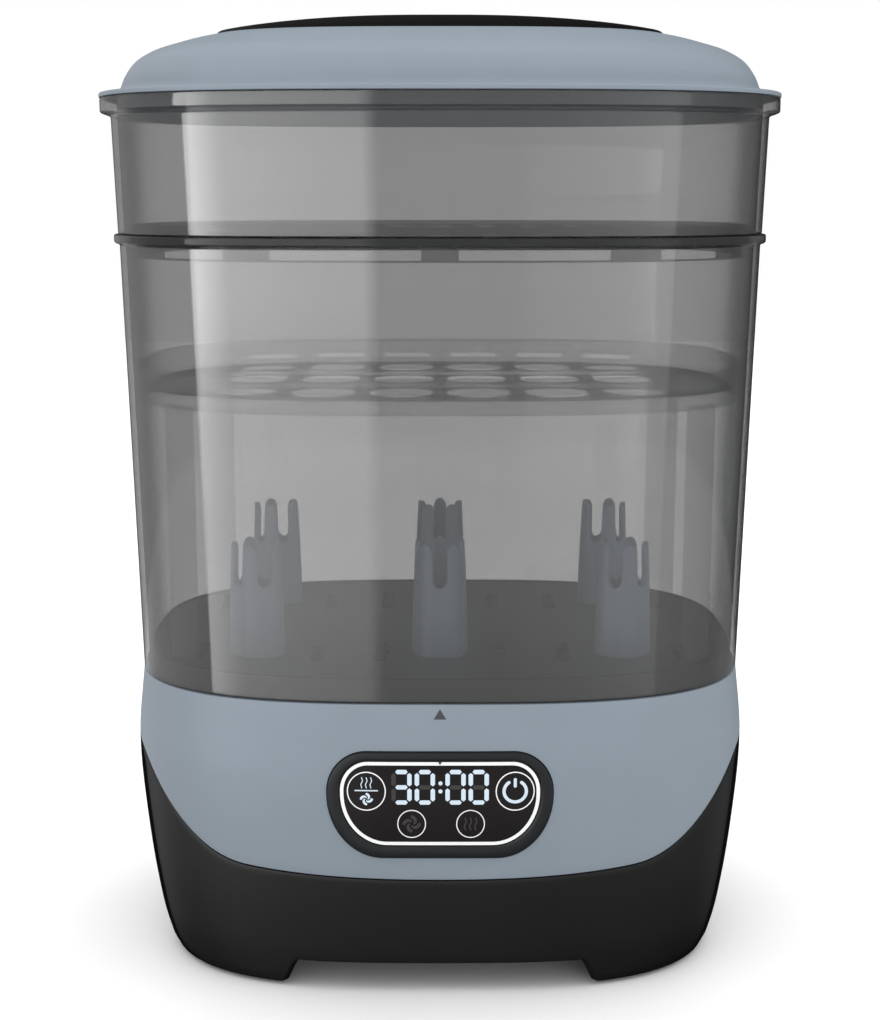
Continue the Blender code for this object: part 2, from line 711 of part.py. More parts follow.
def build_lid():
    ring = even_angles(TIER_POINTS)
    lid = plate("lid_shell", ring, [
        (0.0930, 0.0, 0.3819), (0.1160, 0.0, 0.3786), (0.1236, 0.0, 0.3746),
        (0.1284, 0.0, 0.3690), (0.1292, 0.0, 0.3634), (0.1367, 0.0052, 0.3622),
        (0.1366, 0.0050, 0.3542), (0.1366, WALL + 0.0007, 0.3542),
        (0.1367, WALL + 0.0005, LID_BOTTOM), (0.1412, 0.0, LID_BOTTOM),
        (0.1412, 0.0, 0.3635), (0.1407, 0.0, 0.3641), (0.1340, 0.0, 0.3647),
        (0.1325, 0.0, 0.3667), (0.1312, 0.0, 0.3712), (0.1263, 0.0, 0.3773),
        (0.1194, 0.0, 0.3817), (0.1118, 0.0, 0.3838), (0.0948, 0.0, 0.3880),
        (0.0944, 0.0, 0.3845)], "blue_grey_plastic", 30.0)
    vent = [prism_up(slot_outline(x, 0.0, 0.012, 0.004), 0.370, 0.390)
            for x in (-0.010, 0.0, 0.010)]
    cut(lid, vent, "cut_lid_vents")

    # cap: shallow dome, z falls with the square of the distance from the middle
    profile = []
    edge = 0.0941
    low = 0.0892
    profile.append((low, 0.0, 0.3848))
    profile.append((edge, 0.0, 0.3848))
    profile.append((edge, 0.0, 0.3885))
    for s in (0.97, 0.88, 0.70, 0.45, 0.20):
        profile.append((edge * s, 0.0, 0.3896 + 0.0067 * (1.0 - s ** 2) ** 0.9))
    cap = plate("lid_cap", ring, profile, "black_plastic", 30.0)
    holes = [prism_up(slot_outline(x, 0.0, 0.010, 0.0030), 0.370, 0.400)
             for x in (-0.010, 0.0, 0.010)]
    cut(cap, holes, "cut_cap_vents")


def lift_to_ground():
    for item in bpy.data.objects:
        item.location.z -= GROUND


clear_scene()
build_base()
build_panel()
build_heater()
build_blower()
build_rear()
build_rack()
post = 0
for row_y in (-POST_Y, POST_Y):
    for column_x in (-POST_X, 0.0, POST_X):
        post += 1
        build_post(post, column_x, row_y)
build_tiers()
build_trays()
build_lid()
lift_to_ground()
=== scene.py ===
import math

import bmesh
import bpy
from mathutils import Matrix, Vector


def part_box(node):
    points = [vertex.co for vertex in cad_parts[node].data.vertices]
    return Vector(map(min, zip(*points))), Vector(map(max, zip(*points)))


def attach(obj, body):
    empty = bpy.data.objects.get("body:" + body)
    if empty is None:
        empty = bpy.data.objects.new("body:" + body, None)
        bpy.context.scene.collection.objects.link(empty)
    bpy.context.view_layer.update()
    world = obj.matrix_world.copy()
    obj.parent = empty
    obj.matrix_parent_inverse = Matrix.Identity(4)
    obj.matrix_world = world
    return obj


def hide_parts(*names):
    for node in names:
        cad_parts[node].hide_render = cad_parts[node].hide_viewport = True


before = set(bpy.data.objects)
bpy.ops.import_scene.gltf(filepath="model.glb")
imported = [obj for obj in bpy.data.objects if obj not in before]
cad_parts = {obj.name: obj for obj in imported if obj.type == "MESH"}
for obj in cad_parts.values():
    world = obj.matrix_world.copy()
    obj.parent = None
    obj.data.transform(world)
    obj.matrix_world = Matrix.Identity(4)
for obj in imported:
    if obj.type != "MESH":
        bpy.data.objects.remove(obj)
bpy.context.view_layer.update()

# ---------------- driving dimensions
DEPTH_RATIO = 0.71          # half depth over half width of every plan outline
PLAN_POWER = 3.0            # roundness of the plan outline (2 = ellipse, higher = squarer)
FIT = 0.0003                # gap between pieces that touch
WALL = 0.0025               # wall of the shells and tiers
ROUND = 288                 # points around the large shells

# outer half width of the base against height
BASE_SIDE = [(0.0012, 0.1197), (0.0045, 0.1217), (0.0205, 0.1258), (0.0545, 0.1305),
             (0.0945, 0.1332), (0.1265, 0.1304)]
TOE = BASE_SIDE[0][1]       # half width at the ground
RIM = BASE_SIDE[-1][1]      # half width of the cover's upper rim and of the lower tier's foot
DECK_RIM = 0.1302           # half width that the deck and the rack are set in from
HOUSING_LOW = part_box("base_housing")[0].z
COVER_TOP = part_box("base_cover")[1].z
SPLIT_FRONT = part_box("base_cover")[0].z
SPLIT_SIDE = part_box("base_housing")[1].z
ARCH_HALF = 0.0670          # half width of the arch between the feet
ARCH_TOP = 0.0133           # height of that arch
ARCH_EASE = 0.010           # width over which the arch rises
SHELF_Z = 0.0181            # ledge inside the housing that carries the bottom cover
SHELF = 0.0024              # thickness of that ledge
OUTSIDE = 0.110             # depth from the middle at which nothing is left to cut
DECK_CUT = (0.110, 0.130)   # heights between which holes in the deck are cut
RACK_CUT = (0.120, 0.140)   # the same for the rack

DECK_FLOOR = 0.1225         # top of the deck floor
UPSTAND_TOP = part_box("base_deck")[1].z
RACK_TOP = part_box("bottle_rack")[1].z
LOWER_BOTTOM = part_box("lower_body")[0].z
LOWER_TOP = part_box("lower_body")[1].z
UPPER_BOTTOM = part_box("upper_body")[0].z
UPPER_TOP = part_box("upper_body")[1].z
LID_BOTTOM = UPPER_TOP + FIT
MID_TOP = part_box("middle_tray")[1].z
TOP_TRAY_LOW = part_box("top_tray")[0].z
CAP_LOW = LID_BOTTOM + 0.0228
LOWER_HALF = 0.1348         # half width of the lower tier under its ring
UPPER_FOOT = 0.1353         # half width of the upper tier at its foot
UPPER_HALF = 0.1367         # half width of the upper tier under its flange
LID_HALF = 0.1412           # half width of the lid's brim

HEATER = (0.030, 0.0, 0.050)        # middle and radius of the heating plate
DUCT = (-0.072, 0.012, 0.0150)      # middle and radius of the warm air duct
POST_ROW = 0.046            # distance of both rows of posts from the middle
POST_RADIUS = 0.0122
POST_LEAN = 0.0016          # how much narrower a post is at its top
POST_LOBE = 0.0011          # how much narrower it is between two fingers
POST_WALL = 0.0021
POST_TURN = math.radians(24.0)      # by which the outer posts are turned towards the middle
FINGERS = 5                 # fingers around each post
FINGER_HALF = math.radians(19.0)    # half of the angle that a finger takes up
SLOT_FLOOR = 0.0295         # height of the slots between the fingers above the post's foot

PANEL_Z = 0.0856            # middle of the control panel
BEZEL = dict(half=0.0457, top=0.0216, bottom=0.0237, r_top=(0.0160, 0.0168),
             r_bottom=(0.0225, 0.0272))
GLASS = dict(half=0.0404, top=0.0177, bottom=0.0179, r_top=(0.0113, 0.0122),
             r_bottom=(0.0190, 0.0220))
GLASS_PROUD = 0.0006
INK = 0.00010               # thickness of the printed marks

FILTER = (-0.060, 0.0565, 0.030, 0.020)     # middle x, z and half sizes of the filter cover
INLET = (0.030, 0.0445, 0.0155, 0.0115)     # middle x, z and half sizes of the power inlet

SHARP = 32.0                # degrees at which two faces meet in a visible edge
SHARP_SOFTENED = 60.0       # the same for pieces whose edges are bevelled
SOFTBOX = 6.2               # extra brightness of the softbox at its left edge
AROUND = 1.0                # brightness of the surroundings
RIGHT_REAR = 0.42           # brightness of the grey flag on the right
BEHIND = 0.06               # share of the surroundings straight behind the object
BELOW = 0.12                # share of the surroundings below the horizon
TABLE = 0.30                # extra brightness of the table top in the gloss
SIDES = 1.25                # how much brighter it is at the sides, for rough surfaces
OVERHEAD = 1.65             # how much brighter it is overhead than around
CAMERA = (0.0, -0.7445, 0.329)      # place of the camera
CAMERA_DOWN = 10.7          # degrees by which it looks down
LENS = 59.8                 # focal length for a sensor 36 wide


# ---------------- material helpers
def feed(tree, node, **inputs):
    """Link or set inputs of a node by their names, written with _ for every space."""
    for key, value in inputs.items():
        socket = node.inputs[key.replace("_", " ")]
        if isinstance(value, bpy.types.NodeSocket):
            tree.links.new(value, socket)
        else:
            socket.default_value = value


def add(tree, kind, settings=None, **inputs):
    """New node with attributes from settings and with its inputs linked or set."""
    node = tree.nodes.new(kind)
    for key, value in (settings or {}).items():
        setattr(node, key, value)
    feed(tree, node, **inputs)
    return node


def start_material(name):
    made = bpy.data.materials.new(name)
    made.use_nodes = True
    return made, made.node_tree, made.node_tree.nodes["Principled BSDF"]


def object_coords(tree):
    return add(tree, "ShaderNodeTexCoord").outputs["Object"]


def facing(tree):
    """0 where a surface faces the viewer, 1 where it turns away."""
    return add(tree, "ShaderNodeLayerWeight", Blend=0.5).outputs["Facing"]


def noise(tree, size, stretch=(1.0, 1.0, 1.0), detail=4.0, rough=0.55):
    """Noise in object space whose features are about `size` metres across."""
    mapping = add(tree, "ShaderNodeMapping", Vector=object_coords(tree), Scale=stretch)
    return add(tree, "ShaderNodeTexNoise", Vector=mapping.outputs["Vector"], Scale=1.0 / size,
               Detail=detail, Roughness=rough).outputs["Fac"]


def blend_colour(tree, factor, low, high, a, b):
    """Colour a where the factor is low and colour b where it is high."""
    ramp = add(tree, "ShaderNodeValToRGB", Fac=factor)
    for stop, position, colour in zip(ramp.color_ramp.elements, (low, high), (a, b)):
        stop.position = position
        stop.color = (*colour, 1.0)
    return ramp.outputs["Color"]


def spread(tree, factor, low, high, a, b):
    """Number a where the factor is low and b where it is high."""
    return add(tree, "ShaderNodeMapRange", Value=factor, From_Min=low, From_Max=high,
               To_Min=a, To_Max=b).outputs["Result"]


def clouds(tree, factor, colour, dark, light):
    """Colour whose brightness wanders between two shares of its own."""
    low, high = (tuple(min(1.0, max(0.0, c * share)) for c in colour) for share in (dark, light))
    return blend_colour(tree, factor, 0.3, 0.7, low, high)


def maths(tree, operation, *values):
    node = add(tree, "ShaderNodeMath", {"operation": operation})
    for socket, value in zip(node.inputs, values):
        if isinstance(value, float):
            socket.default_value = value
        else:
            tree.links.new(value, socket)
    return node.outputs[0]


def mix_shaders(tree, factor, first, second):
    node = add(tree, "ShaderNodeMixShader", Fac=factor)
    tree.links.new(first, node.inputs[1])
    tree.links.new(second, node.inputs[2])
    return node.outputs["Shader"]


def relief(tree, shader, height, depth):
    bump = add(tree, "ShaderNodeBump", Distance=depth, Strength=1.0, Height=height)
    feed(tree, shader, Normal=bump.outputs["Normal"])


def solid_finish(name, colour, rough, metal=0.0, tone=0.05, cloud=0.030, grain=0.0006,
                 depth=0.00002, swing=0.05, specular=0.5, edge=None, stretch=(1.0, 1.0, 1.0)):
    """Opaque finish: cloudy colour, uneven roughness and a fine moulded or brushed grain.

    edge is the specular level where the surface turns away, if it differs."""
    made, tree, shader = start_material(name)
    slow = noise(tree, cloud, detail=3.0)
    fine = noise(tree, grain, stretch, detail=5.0, rough=0.6)
    if edge is not None:
        specular = spread(tree, facing(tree), 0.35, 0.80, specular, edge)
    relief(tree, shader, fine, depth)
    feed(tree, shader, Base_Color=clouds(tree, slow, colour, 1.0 - tone, 1.0 + tone),
         Roughness=spread(tree, fine, 0.3, 0.7, rough - swing, rough + swing),
         Metallic=metal, Specular_IOR_Level=specular)
    return made


def see_through(name, body, cover, grazing, rough, ior, bend, rim=None):
    """Clear or smoked plastic: a thin film of body colour and gloss over plain transparency.

    cover is how much one surface hides when seen square on, grazing how much at its edge.
    bend = (start, middle, end) of the rise between them, rim = (height, cover, ior) of the
    thick part above that height, whose higher cover stands for the thicker plastic and also
    paints in the shade that refraction gives that part."""
    made, tree, shader = start_material(name)
    ramp = add(tree, "ShaderNodeValToRGB", Fac=facing(tree))
    ramp.color_ramp.interpolation = "B_SPLINE"
    stops = ramp.color_ramp.elements
    for position in bend:
        stops.new(position)
    for stop, value in zip(stops, (cover, cover, (cover + grazing) / 2.0, grazing, grazing)):
        stop.color = (value, value, value, 1.0)
    share = ramp.outputs["Color"]
    # painted shade: the bead and flange hide more than the wall, partly for their thicker
    # plastic, partly in place of the darkening that refraction gives them
    if rim:
        split = add(tree, "ShaderNodeSeparateXYZ", Vector=object_coords(tree))
        step = (tree, split.outputs["Z"], rim[0] - 0.0003, rim[0] + 0.0003)
        share = maths(tree, "MAXIMUM", share, spread(*step, 0.0, rim[1]))
        ior = spread(*step, ior, rim[2])
    relief(tree, shader, noise(tree, 0.040, detail=1.0), 0.00002)
    fine = noise(tree, 0.0012, detail=3.0)
    feed(tree, shader, IOR=ior,
         Base_Color=clouds(tree, noise(tree, 0.050, detail=2.0), body, 0.92, 1.08),
         Roughness=spread(tree, fine, 0.3, 0.7, rough * 0.8, rough * 1.2))
    feed(tree, tree.nodes["Material Output"], Surface=mix_shaders(
        tree, share, add(tree, "ShaderNodeBsdfTransparent").outputs["BSDF"],
        shader.outputs["BSDF"]))
    return made


def lamp_finish(name, colour, glow):
    """Lit display segment: cool light that varies a little over the diffuser."""
    made, tree, shader = start_material(name)
    fine = noise(tree, 0.0015, detail=2.0)
    low, high = (tuple(min(1.0, c * share) for c in colour) for share in (0.94, 1.04))
    feed(tree, shader, Emission_Color=blend_colour(tree, fine, 0.25, 0.75, low, high),
         Base_Color=(0.020, 0.022, 0.024, 1.0), Emission_Strength=glow, Roughness=0.35)
    return made


def brushed_round(name, colour, rough, centre):
    """Metal turned about an upright axis: fine rings in the roughness and the relief."""
    made, tree, shader = start_material(name)
    mapping = add(tree, "ShaderNodeMapping", Vector=object_coords(tree),
                  Location=(-centre[0], -centre[1], 0.0))
    rings = add(tree, "ShaderNodeTexWave", {"wave_type": "RINGS", "rings_direction": "Z"},
                Vector=mapping.outputs["Vector"], Scale=420.0, Distortion=2.5, Detail=3.0)
    groove = rings.outputs["Fac"]
    relief(tree, shader, groove, 0.000012)
    feed(tree, shader, Metallic=1.0,
         Base_Color=clouds(tree, noise(tree, 0.018, detail=3.0), colour, 0.90, 1.06),
         Roughness=spread(tree, groove, 0.0, 1.0, rough - 0.06, rough + 0.08))
    return made


def sponge_finish(name):
    """Open foam: round pores between pale webs, the pores painted dark as shade in the hollows.
    """
    made, tree, shader = start_material(name)
    cells = add(tree, "ShaderNodeTexVoronoi", Vector=object_coords(tree), Scale=900.0)
    pores = cells.outputs["Distance"]
    relief(tree, shader, pores, 0.0004)
    # painted shade: the colour darkens towards the middle of each pore, where the relief sinks
    # deepest
    feed(tree, shader, Roughness=0.95, Base_Color=blend_colour(
        tree, pores, 0.15, 0.65, (0.010, 0.010, 0.011), (0.085, 0.085, 0.088)))
    return made


def board_finish(name):
    """Circuit board: green lacquer over a grid of slightly lighter copper runs."""
    made, tree, shader = start_material(name)
    cells = add(tree, "ShaderNodeTexBrick", Vector=object_coords(tree), Scale=160.0,
                Color1=(0.016, 0.100, 0.042, 1.0), Color2=(0.020, 0.120, 0.050, 1.0),
                Mortar=(0.050, 0.210, 0.080, 1.0))
    relief(tree, shader, cells.outputs["Fac"], 0.00003)
    feed(tree, shader, Base_Color=cells.outputs["Color"],
         Roughness=spread(tree, noise(tree, 0.004), 0.3, 0.7, 0.35, 0.55))
    return made


# ---------------- materials
SMOKE = dict(body=(0.018, 0.019, 0.019), cover=0.37, grazing=0.99, rough=0.030, ior=2.1,
             bend=(0.62, 0.80, 0.94))
MATS = {
    "blue_grey": solid_finish("blue_grey_plastic", (0.168, 0.199, 0.232), 0.46, tone=0.020,
                              grain=0.0007, depth=0.000012, swing=0.04, specular=0.35),
    "post": solid_finish("post_plastic", (0.200, 0.250, 0.320), 0.38, tone=0.03,
                         grain=0.0006, depth=0.00001, swing=0.04),
    "black": solid_finish("black_plastic", (0.0032, 0.0032, 0.0035), 0.39, tone=0.10,
                          grain=0.0005, depth=0.00002, swing=0.05, specular=0.24, edge=0.0),
    "deck": solid_finish("deck_plastic", (0.0120, 0.0120, 0.0125), 0.50, tone=0.10,
                         grain=0.0006, depth=0.00002, swing=0.05, specular=0.3),
    "cap": solid_finish("cap_satin", (0.0016, 0.0016, 0.0018), 0.45, tone=0.10,
                        grain=0.0006, depth=0.000008, swing=0.04, specular=0.07),
    "bezel": solid_finish("bezel_gloss", (0.0085, 0.0095, 0.0105), 0.30, tone=0.05,
                          grain=0.0010, depth=0.000004, swing=0.03, specular=0.18),
    "glass": solid_finish("panel_glass", (0.0080, 0.0064, 0.0067), 0.10, tone=0.04,
                          cloud=0.05, grain=0.004, depth=0.000002, swing=0.02, specular=0.10),
    # bead of the lower tier and flange of the upper tier: more opaque, partly for thicker
    # plastic, partly painted shade
    "smoke_lower": see_through("smoke_tier", **SMOKE, rim=(LOWER_TOP - 0.0036, 0.84, 1.3)),
    "smoke_upper": see_through("smoke_flanged", **SMOKE, rim=(UPPER_TOP - 0.0060, 0.52, 1.9)),
    "clear": see_through("clear_tray", (0.10, 0.102, 0.102), 0.20, 0.85, 0.030, 1.9,
                         (0.75, 0.90, 0.98)),
    "dark_clear": see_through("dark_tray", (0.034, 0.035, 0.036), 0.55, 0.92, 0.050, 1.7,
                              (0.55, 0.80, 0.98)),
    "rack": solid_finish("rack_plastic", (0.0150, 0.0155, 0.0160), 0.34, tone=0.08,
                         grain=0.0008, depth=0.00001, swing=0.04, specular=0.4),
    "white_ink": solid_finish("white_ink", (0.70, 0.70, 0.70), 0.45, tone=0.02,
                              grain=0.0010, depth=0.000002),
    "dim_ink": solid_finish("dim_ink", (0.036, 0.034, 0.034), 0.35, tone=0.05,
                            grain=0.0010, depth=0.000002, specular=0.12),
    "dark_ink": solid_finish("dark_ink", (0.020, 0.022, 0.028), 0.50, tone=0.05,
                             grain=0.0010, depth=0.000002),
    "digits": lamp_finish("lit_digits", (0.68, 0.80, 0.91), 0.95),
    "display": solid_finish("display_plastic", (0.050, 0.050, 0.050), 0.50),
    "board": board_finish("circuit_board"),
    "stainless": brushed_round("stainless", (0.60, 0.60, 0.59), 0.26, HEATER),
    "heater": solid_finish("heater_steel", (0.33, 0.32, 0.31), 0.45, metal=1.0, tone=0.18,
                           cloud=0.010, grain=0.0010, depth=0.00003),
    "silicone": solid_finish("silicone", (0.50, 0.50, 0.48), 0.68, grain=0.0012),
    "rubber": solid_finish("rubber", (0.018, 0.018, 0.018), 0.82, tone=0.15, cloud=0.006,
                           grain=0.0008, depth=0.00006),
    "sponge": sponge_finish("filter_sponge"),
    "nickel": solid_finish("nickel", (0.55, 0.54, 0.52), 0.30, metal=1.0, cloud=0.004,
                           grain=0.0008, depth=0.00001),
    "motor": solid_finish("motor_steel", (0.42, 0.42, 0.42), 0.40, metal=1.0, grain=0.0009,
                          stretch=(1.0, 1.0, 0.05)),
    "winding": solid_finish("winding_wrap", (0.52, 0.33, 0.05), 0.58, tone=0.12, cloud=0.004,
                            grain=0.0012, stretch=(0.1, 0.1, 1.0), depth=0.00004),
}

# finish of the CAD nodes that are shown as they are, by the start of the name; others are black
CAD_FINISH = {
    "fan_motor": "motor", "heating_element": "heater", "thermostat": "nickel",
    "power_board": "board", "display_board": "board", "power_transformer": "winding",
    "display_module": "display", "air_filter": "sponge", "plate_seal": "silicone",
    "bottom_screw": "nickel", "inlet_pin": "nickel", "rubber_foot": "rubber",
}


def finish_cad_nodes():
    """Give every CAD node its finish; the nodes that pieces stand for are not seen."""
    for name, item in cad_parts.items():
        keys = [key for start, key in CAD_FINISH.items() if name.startswith(start)]
        made = MATS[keys[0] if keys else "black"]
        if not item.data.materials:
            item.data.materials.append(made)
        for slot in item.material_slots:
            slot.material = made


# ---------------- mesh helpers
def new_object(name, data):
    item = bpy.data.objects.new(name, data)
    bpy.context.scene.collection.objects.link(item)
    return item


def make_piece(name, verts, faces, mat, sharp=SHARP):
    """Mesh object with outward normals, smooth where its faces meet at a low angle."""
    mesh = bpy.data.meshes.new(name)
    work = bmesh.new()
    points = [work.verts.new(v) for v in verts]
    for face in faces:
        work.faces.new([points[i] for i in face])
    bmesh.ops.recalc_face_normals(work, faces=work.faces)
    if work.calc_volume(signed=True) < 0.0:
        bmesh.ops.reverse_faces(work, faces=work.faces)
    work.to_mesh(mesh)
    work.free()
    mesh.materials.append(MATS[mat])
    item = new_object(name, mesh)
    smooth(item, sharp)
    return item


def smooth(item, sharp):
    item.data.shade_smooth()
    item.data.set_sharp_from_angle(angle=math.radians(sharp))


def apply_modifiers(item, sharp):
    bpy.context.view_layer.update()
    graph = bpy.context.evaluated_depsgraph_get()
    mesh = bpy.data.meshes.new_from_object(item.evaluated_get(graph))
    item.modifiers.clear()
    item.data = mesh
    smooth(item, sharp)


def merge(parts):
    """One (verts, faces) out of several."""
    verts, faces = [], []
    for part_verts, part_faces in parts:
        start = len(verts)
        verts.extend(part_verts)
        faces.extend(tuple(i + start for i in face) for face in part_faces)
    return verts, faces


def cut(item, blocks):
    """Subtract closed blocks, each given as (verts, faces), and keep the result as the mesh."""
    cutter = make_piece(item.name + "_cutter", *merge(blocks), "black")
    tool = item.modifiers.new("cut", "BOOLEAN")
    tool.operation = "DIFFERENCE"
    tool.solver = "EXACT"
    tool.object = cutter
    apply_modifiers(item, SHARP)
    bpy.data.objects.remove(cutter, do_unlink=True)


def soften(item, width, segments=2):
    """Bevel every edge at which the surface turns by more than 50 degrees."""
    bevel = item.modifiers.new("soften", "BEVEL")
    bevel.width = width
    bevel.segments = segments
    bevel.limit_method = "ANGLE"
    bevel.angle_limit = math.radians(50.0)
    apply_modifiers(item, SHARP_SOFTENED)


def place(item, body, slot, *nodes):
    """Ride on a body and stand for CAD nodes; slot is not used."""
    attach(item, body)
    if nodes:
        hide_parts(*nodes)
    return item


def bridge(rings, closed):
    """Join rings of equal length. closed=True makes a hollow band, False caps both ends."""
    verts = [v for ring in rings for v in ring]
    n = len(rings[0])
    faces = []
    last = len(rings) if closed else len(rings) - 1
    for k in range(last):
        low = k * n
        high = ((k + 1) % len(rings)) * n
        for i in range(n):
            j = (i + 1) % n
            faces.append((low + i, low + j, high + j, high + i))
    if not closed:
        faces.append(tuple(range(n))[::-1])
        faces.append(tuple(range((len(rings) - 1) * n, len(rings) * n)))
    return verts, faces


def prism_up(outline, z0, z1):
    return bridge([[(x, y, z) for x, y in outline] for z in (z0, z1)], False)


def prism_back(outline, y0, y1):
    return bridge([[(x, y, z) for x, z in outline] for y in (y0, y1)], False)


def wall_cutter(outline, reach, side):
    """Block through the front (side=-1) or back (side=1) wall, from the outside to reach."""
    return prism_back(outline, *sorted((side * reach, side * OUTSIDE)))


def open_edges(polys):
    """Edges that only one of the polygons has, in the direction in which it has them."""
    edges = {(a, b): True for poly in polys for a, b in zip(poly, [*poly[1:], poly[0]])}
    return [(a, b) for a, b in edges if (b, a) not in edges]


def round_box(cx, cy, w, h, r, per=6):
    """Outline of a rectangle, w by h half sizes, with corners of radius r."""
    r = min(r, w * 0.999, h * 0.999)
    points = []
    for sx, sy, start in ((1, -1, -90.0), (1, 1, 0.0), (-1, 1, 90.0), (-1, -1, 180.0)):
        for i in range(per + 1):
            t = math.radians(start + 90.0 * i / per)
            points.append((cx + sx * (w - r) + r * math.cos(t),
                           cy + sy * (h - r) + r * math.sin(t)))
    return points


def circle(cx, cy, r, count):
    return [(cx + r * math.cos(2.0 * math.pi * i / count),
             cy + r * math.sin(2.0 * math.pi * i / count)) for i in range(count)]


# ---------------- plan outline
def plan_radius(angle, a, b):
    c = abs(math.cos(angle)) / a
    s = abs(math.sin(angle)) / b
    return (c ** PLAN_POWER + s ** PLAN_POWER) ** (-1.0 / PLAN_POWER)


def even_angles(count):
    """Angles that space points evenly along the plan outline, starting at +X."""
    fine = 6000
    total = [0.0]
    last = None
    for i in range(fine + 1):
        t = 2.0 * math.pi * i / fine
        r = plan_radius(t, 1.0, DEPTH_RATIO)
        here = (r * math.cos(t), r * math.sin(t))
        if last is not None:
            total.append(total[-1] + math.dist(here, last))
        last = here
    angles = []
    k = 0
    for i in range(count):
        goal = total[-1] * i / count
        while total[k + 1] < goal:
            k += 1
        part = (goal - total[k]) / (total[k + 1] - total[k])
        angles.append(2.0 * math.pi * (k + part) / fine)
    return angles


RING = even_angles(ROUND)


def plan_ring(angles, half_width, inset, height):
    """One ring of points. Height and half width may be numbers or functions of the angle."""
    ring = []
    for t in angles:
        a = half_width(t) if callable(half_width) else half_width
        z = height(t) if callable(height) else height
        r = plan_radius(t, a - inset, a * DEPTH_RATIO - inset)
        ring.append((r * math.cos(t), r * math.sin(t), z))
    return ring


def rounded(points, radius, steps=4, closed=True):
    """Profile of (half width, inset, height) points with its corners rounded.

    A fourth number is that corner's own radius."""
    out = []
    n = len(points)

    def length(u, v):
        return math.hypot((u[0] - u[1]) - (v[0] - v[1]), u[2] - v[2])
    for k, point in enumerate(points):
        own = point[3] if len(point) > 3 else radius
        here = Vector(point[:3])
        if own == 0.0 or (not closed and k in (0, n - 1)):
            out.append(here)
            continue
        before = Vector(points[k - 1][:3])
        after = Vector(points[(k + 1) % n][:3])
        la = length(here, before)
        lb = length(here, after)
        start = here.lerp(before, min(own, la * 0.48) / la)
        end = here.lerp(after, min(own, lb * 0.48) / lb)
        for i in range(steps + 1):
            t = i / steps
            out.append(start * (1 - t) ** 2 + here * (2 * t * (1 - t)) + end * t * t)
    return out


def flow(points, per=6):
    """Smooth run of (half width, inset, height) points through the given ones."""
    out = []
    pts = [Vector(p) for p in points]
    for k in range(len(pts) - 1):
        p0 = pts[max(k - 1, 0)]
        p1, p2 = pts[k], pts[k + 1]
        p3 = pts[min(k + 2, len(pts) - 1)]
        for i in range(per):
            t = i / per
            out.append(0.5 * ((2 * p1) + (p2 - p0) * t + (2 * p0 - 5 * p1 + 4 * p2 - p3) * t * t
                              + (3 * p1 - p0 - 3 * p2 + p3) * t ** 3))
    out.append(pts[-1])
    return out


def band(name, profile, mat, angles=RING, hollow=True):
    """Hollow band whose cross-section is the closed profile of (half width, inset, height)."""
    rings = [plan_ring(angles, *point[:3]) for point in profile]
    return make_piece(name, *bridge(rings, hollow), mat)


def plate(name, profile, mat):
    """Solid whose profile ends in a flat face below and above."""
    return band(name, profile, mat, hollow=False)


def lathe(name, profile, mat, centre):
    """Round solid about an upright axis from a profile of (radius, height)."""
    rings = [[(x, y, z) for x, y in circle(*centre, r, 96)] for r, z in profile]
    return make_piece(name, *bridge(rings, False), mat)


# ---------------- base shape
def base_half_width(z):
    """Outer half width of the base at a height, smoothly through the BASE_SIDE points."""
    pts = BASE_SIDE
    if z <= pts[0][0]:
        return pts[0][1]
    for k in range(len(pts) - 1):
        z0, a0 = pts[k]
        z1, a1 = pts[k + 1]
        if z <= z1:
            before = pts[k - 1] if k > 0 else pts[k]
            after = pts[k + 2] if k + 2 < len(pts) else pts[k + 1]
            m0 = (a1 - before[1]) / (z1 - before[0])
            m1 = (after[1] - a0) / (after[0] - z0)
            s = (z - z0) / (z1 - z0)
            d = z1 - z0
            return ((2 * s ** 3 - 3 * s ** 2 + 1) * a0 + (s ** 3 - 2 * s ** 2 + s) * d * m0
                    + (-2 * s ** 3 + 3 * s ** 2) * a1 + (s ** 3 - s ** 2) * d * m1)
    return pts[-1][1]


def split_rise(x):
    """Rise of the joint line against x: slow, then steep near the side, and level again."""
    steep = max(0.0, (x - 0.60) / 0.36) ** 2.4
    soft = steep / (1.0 + steep ** 8) ** 0.125
    slow = 0.22 * x ** 2
    return slow + (1.0 - slow) * soft


def split_height(t):
    """Height of the joint line between cover and housing: low in front, high at the sides."""
    if math.sin(t) >= 0.0:
        return SPLIT_SIDE
    half = 0.130
    x = abs(math.cos(t)) * plan_radius(t, half, half * DEPTH_RATIO) / half
    return SPLIT_FRONT + (SPLIT_SIDE - SPLIT_FRONT) * split_rise(x) / split_rise(1.0)


def arch_height(t):
    """Lower edge of the housing: lifted into an arch at the front and at the back."""
    x = abs(math.cos(t)) * plan_radius(t, TOE, TOE * DEPTH_RATIO)
    s = min(1.0, max(0.0, (ARCH_HALF - x) / ARCH_EASE))
    return HOUSING_LOW + (ARCH_TOP - HOUSING_LOW) * s * s * (3.0 - 2.0 * s)


def plan_y(x, a):
    """Depth at x of the plan outline of half width a."""
    return a * DEPTH_RATIO * (1.0 - (abs(x) / a) ** PLAN_POWER) ** (1.0 / PLAN_POWER)


def base_angles():
    """Even angles with extra ones where the arch rises."""
    extra = []
    for i in range(17):
        x = ARCH_HALF - ARCH_EASE * i / 16.0
        extra.extend(math.atan2(sy * plan_y(x, TOE), sx * x) % (2.0 * math.pi)
                     for sx in (-1, 1) for sy in (-1, 1))
    far = [t for t in RING if min(abs(t - e) for e in extra) > 0.004]
    return sorted(far + extra)


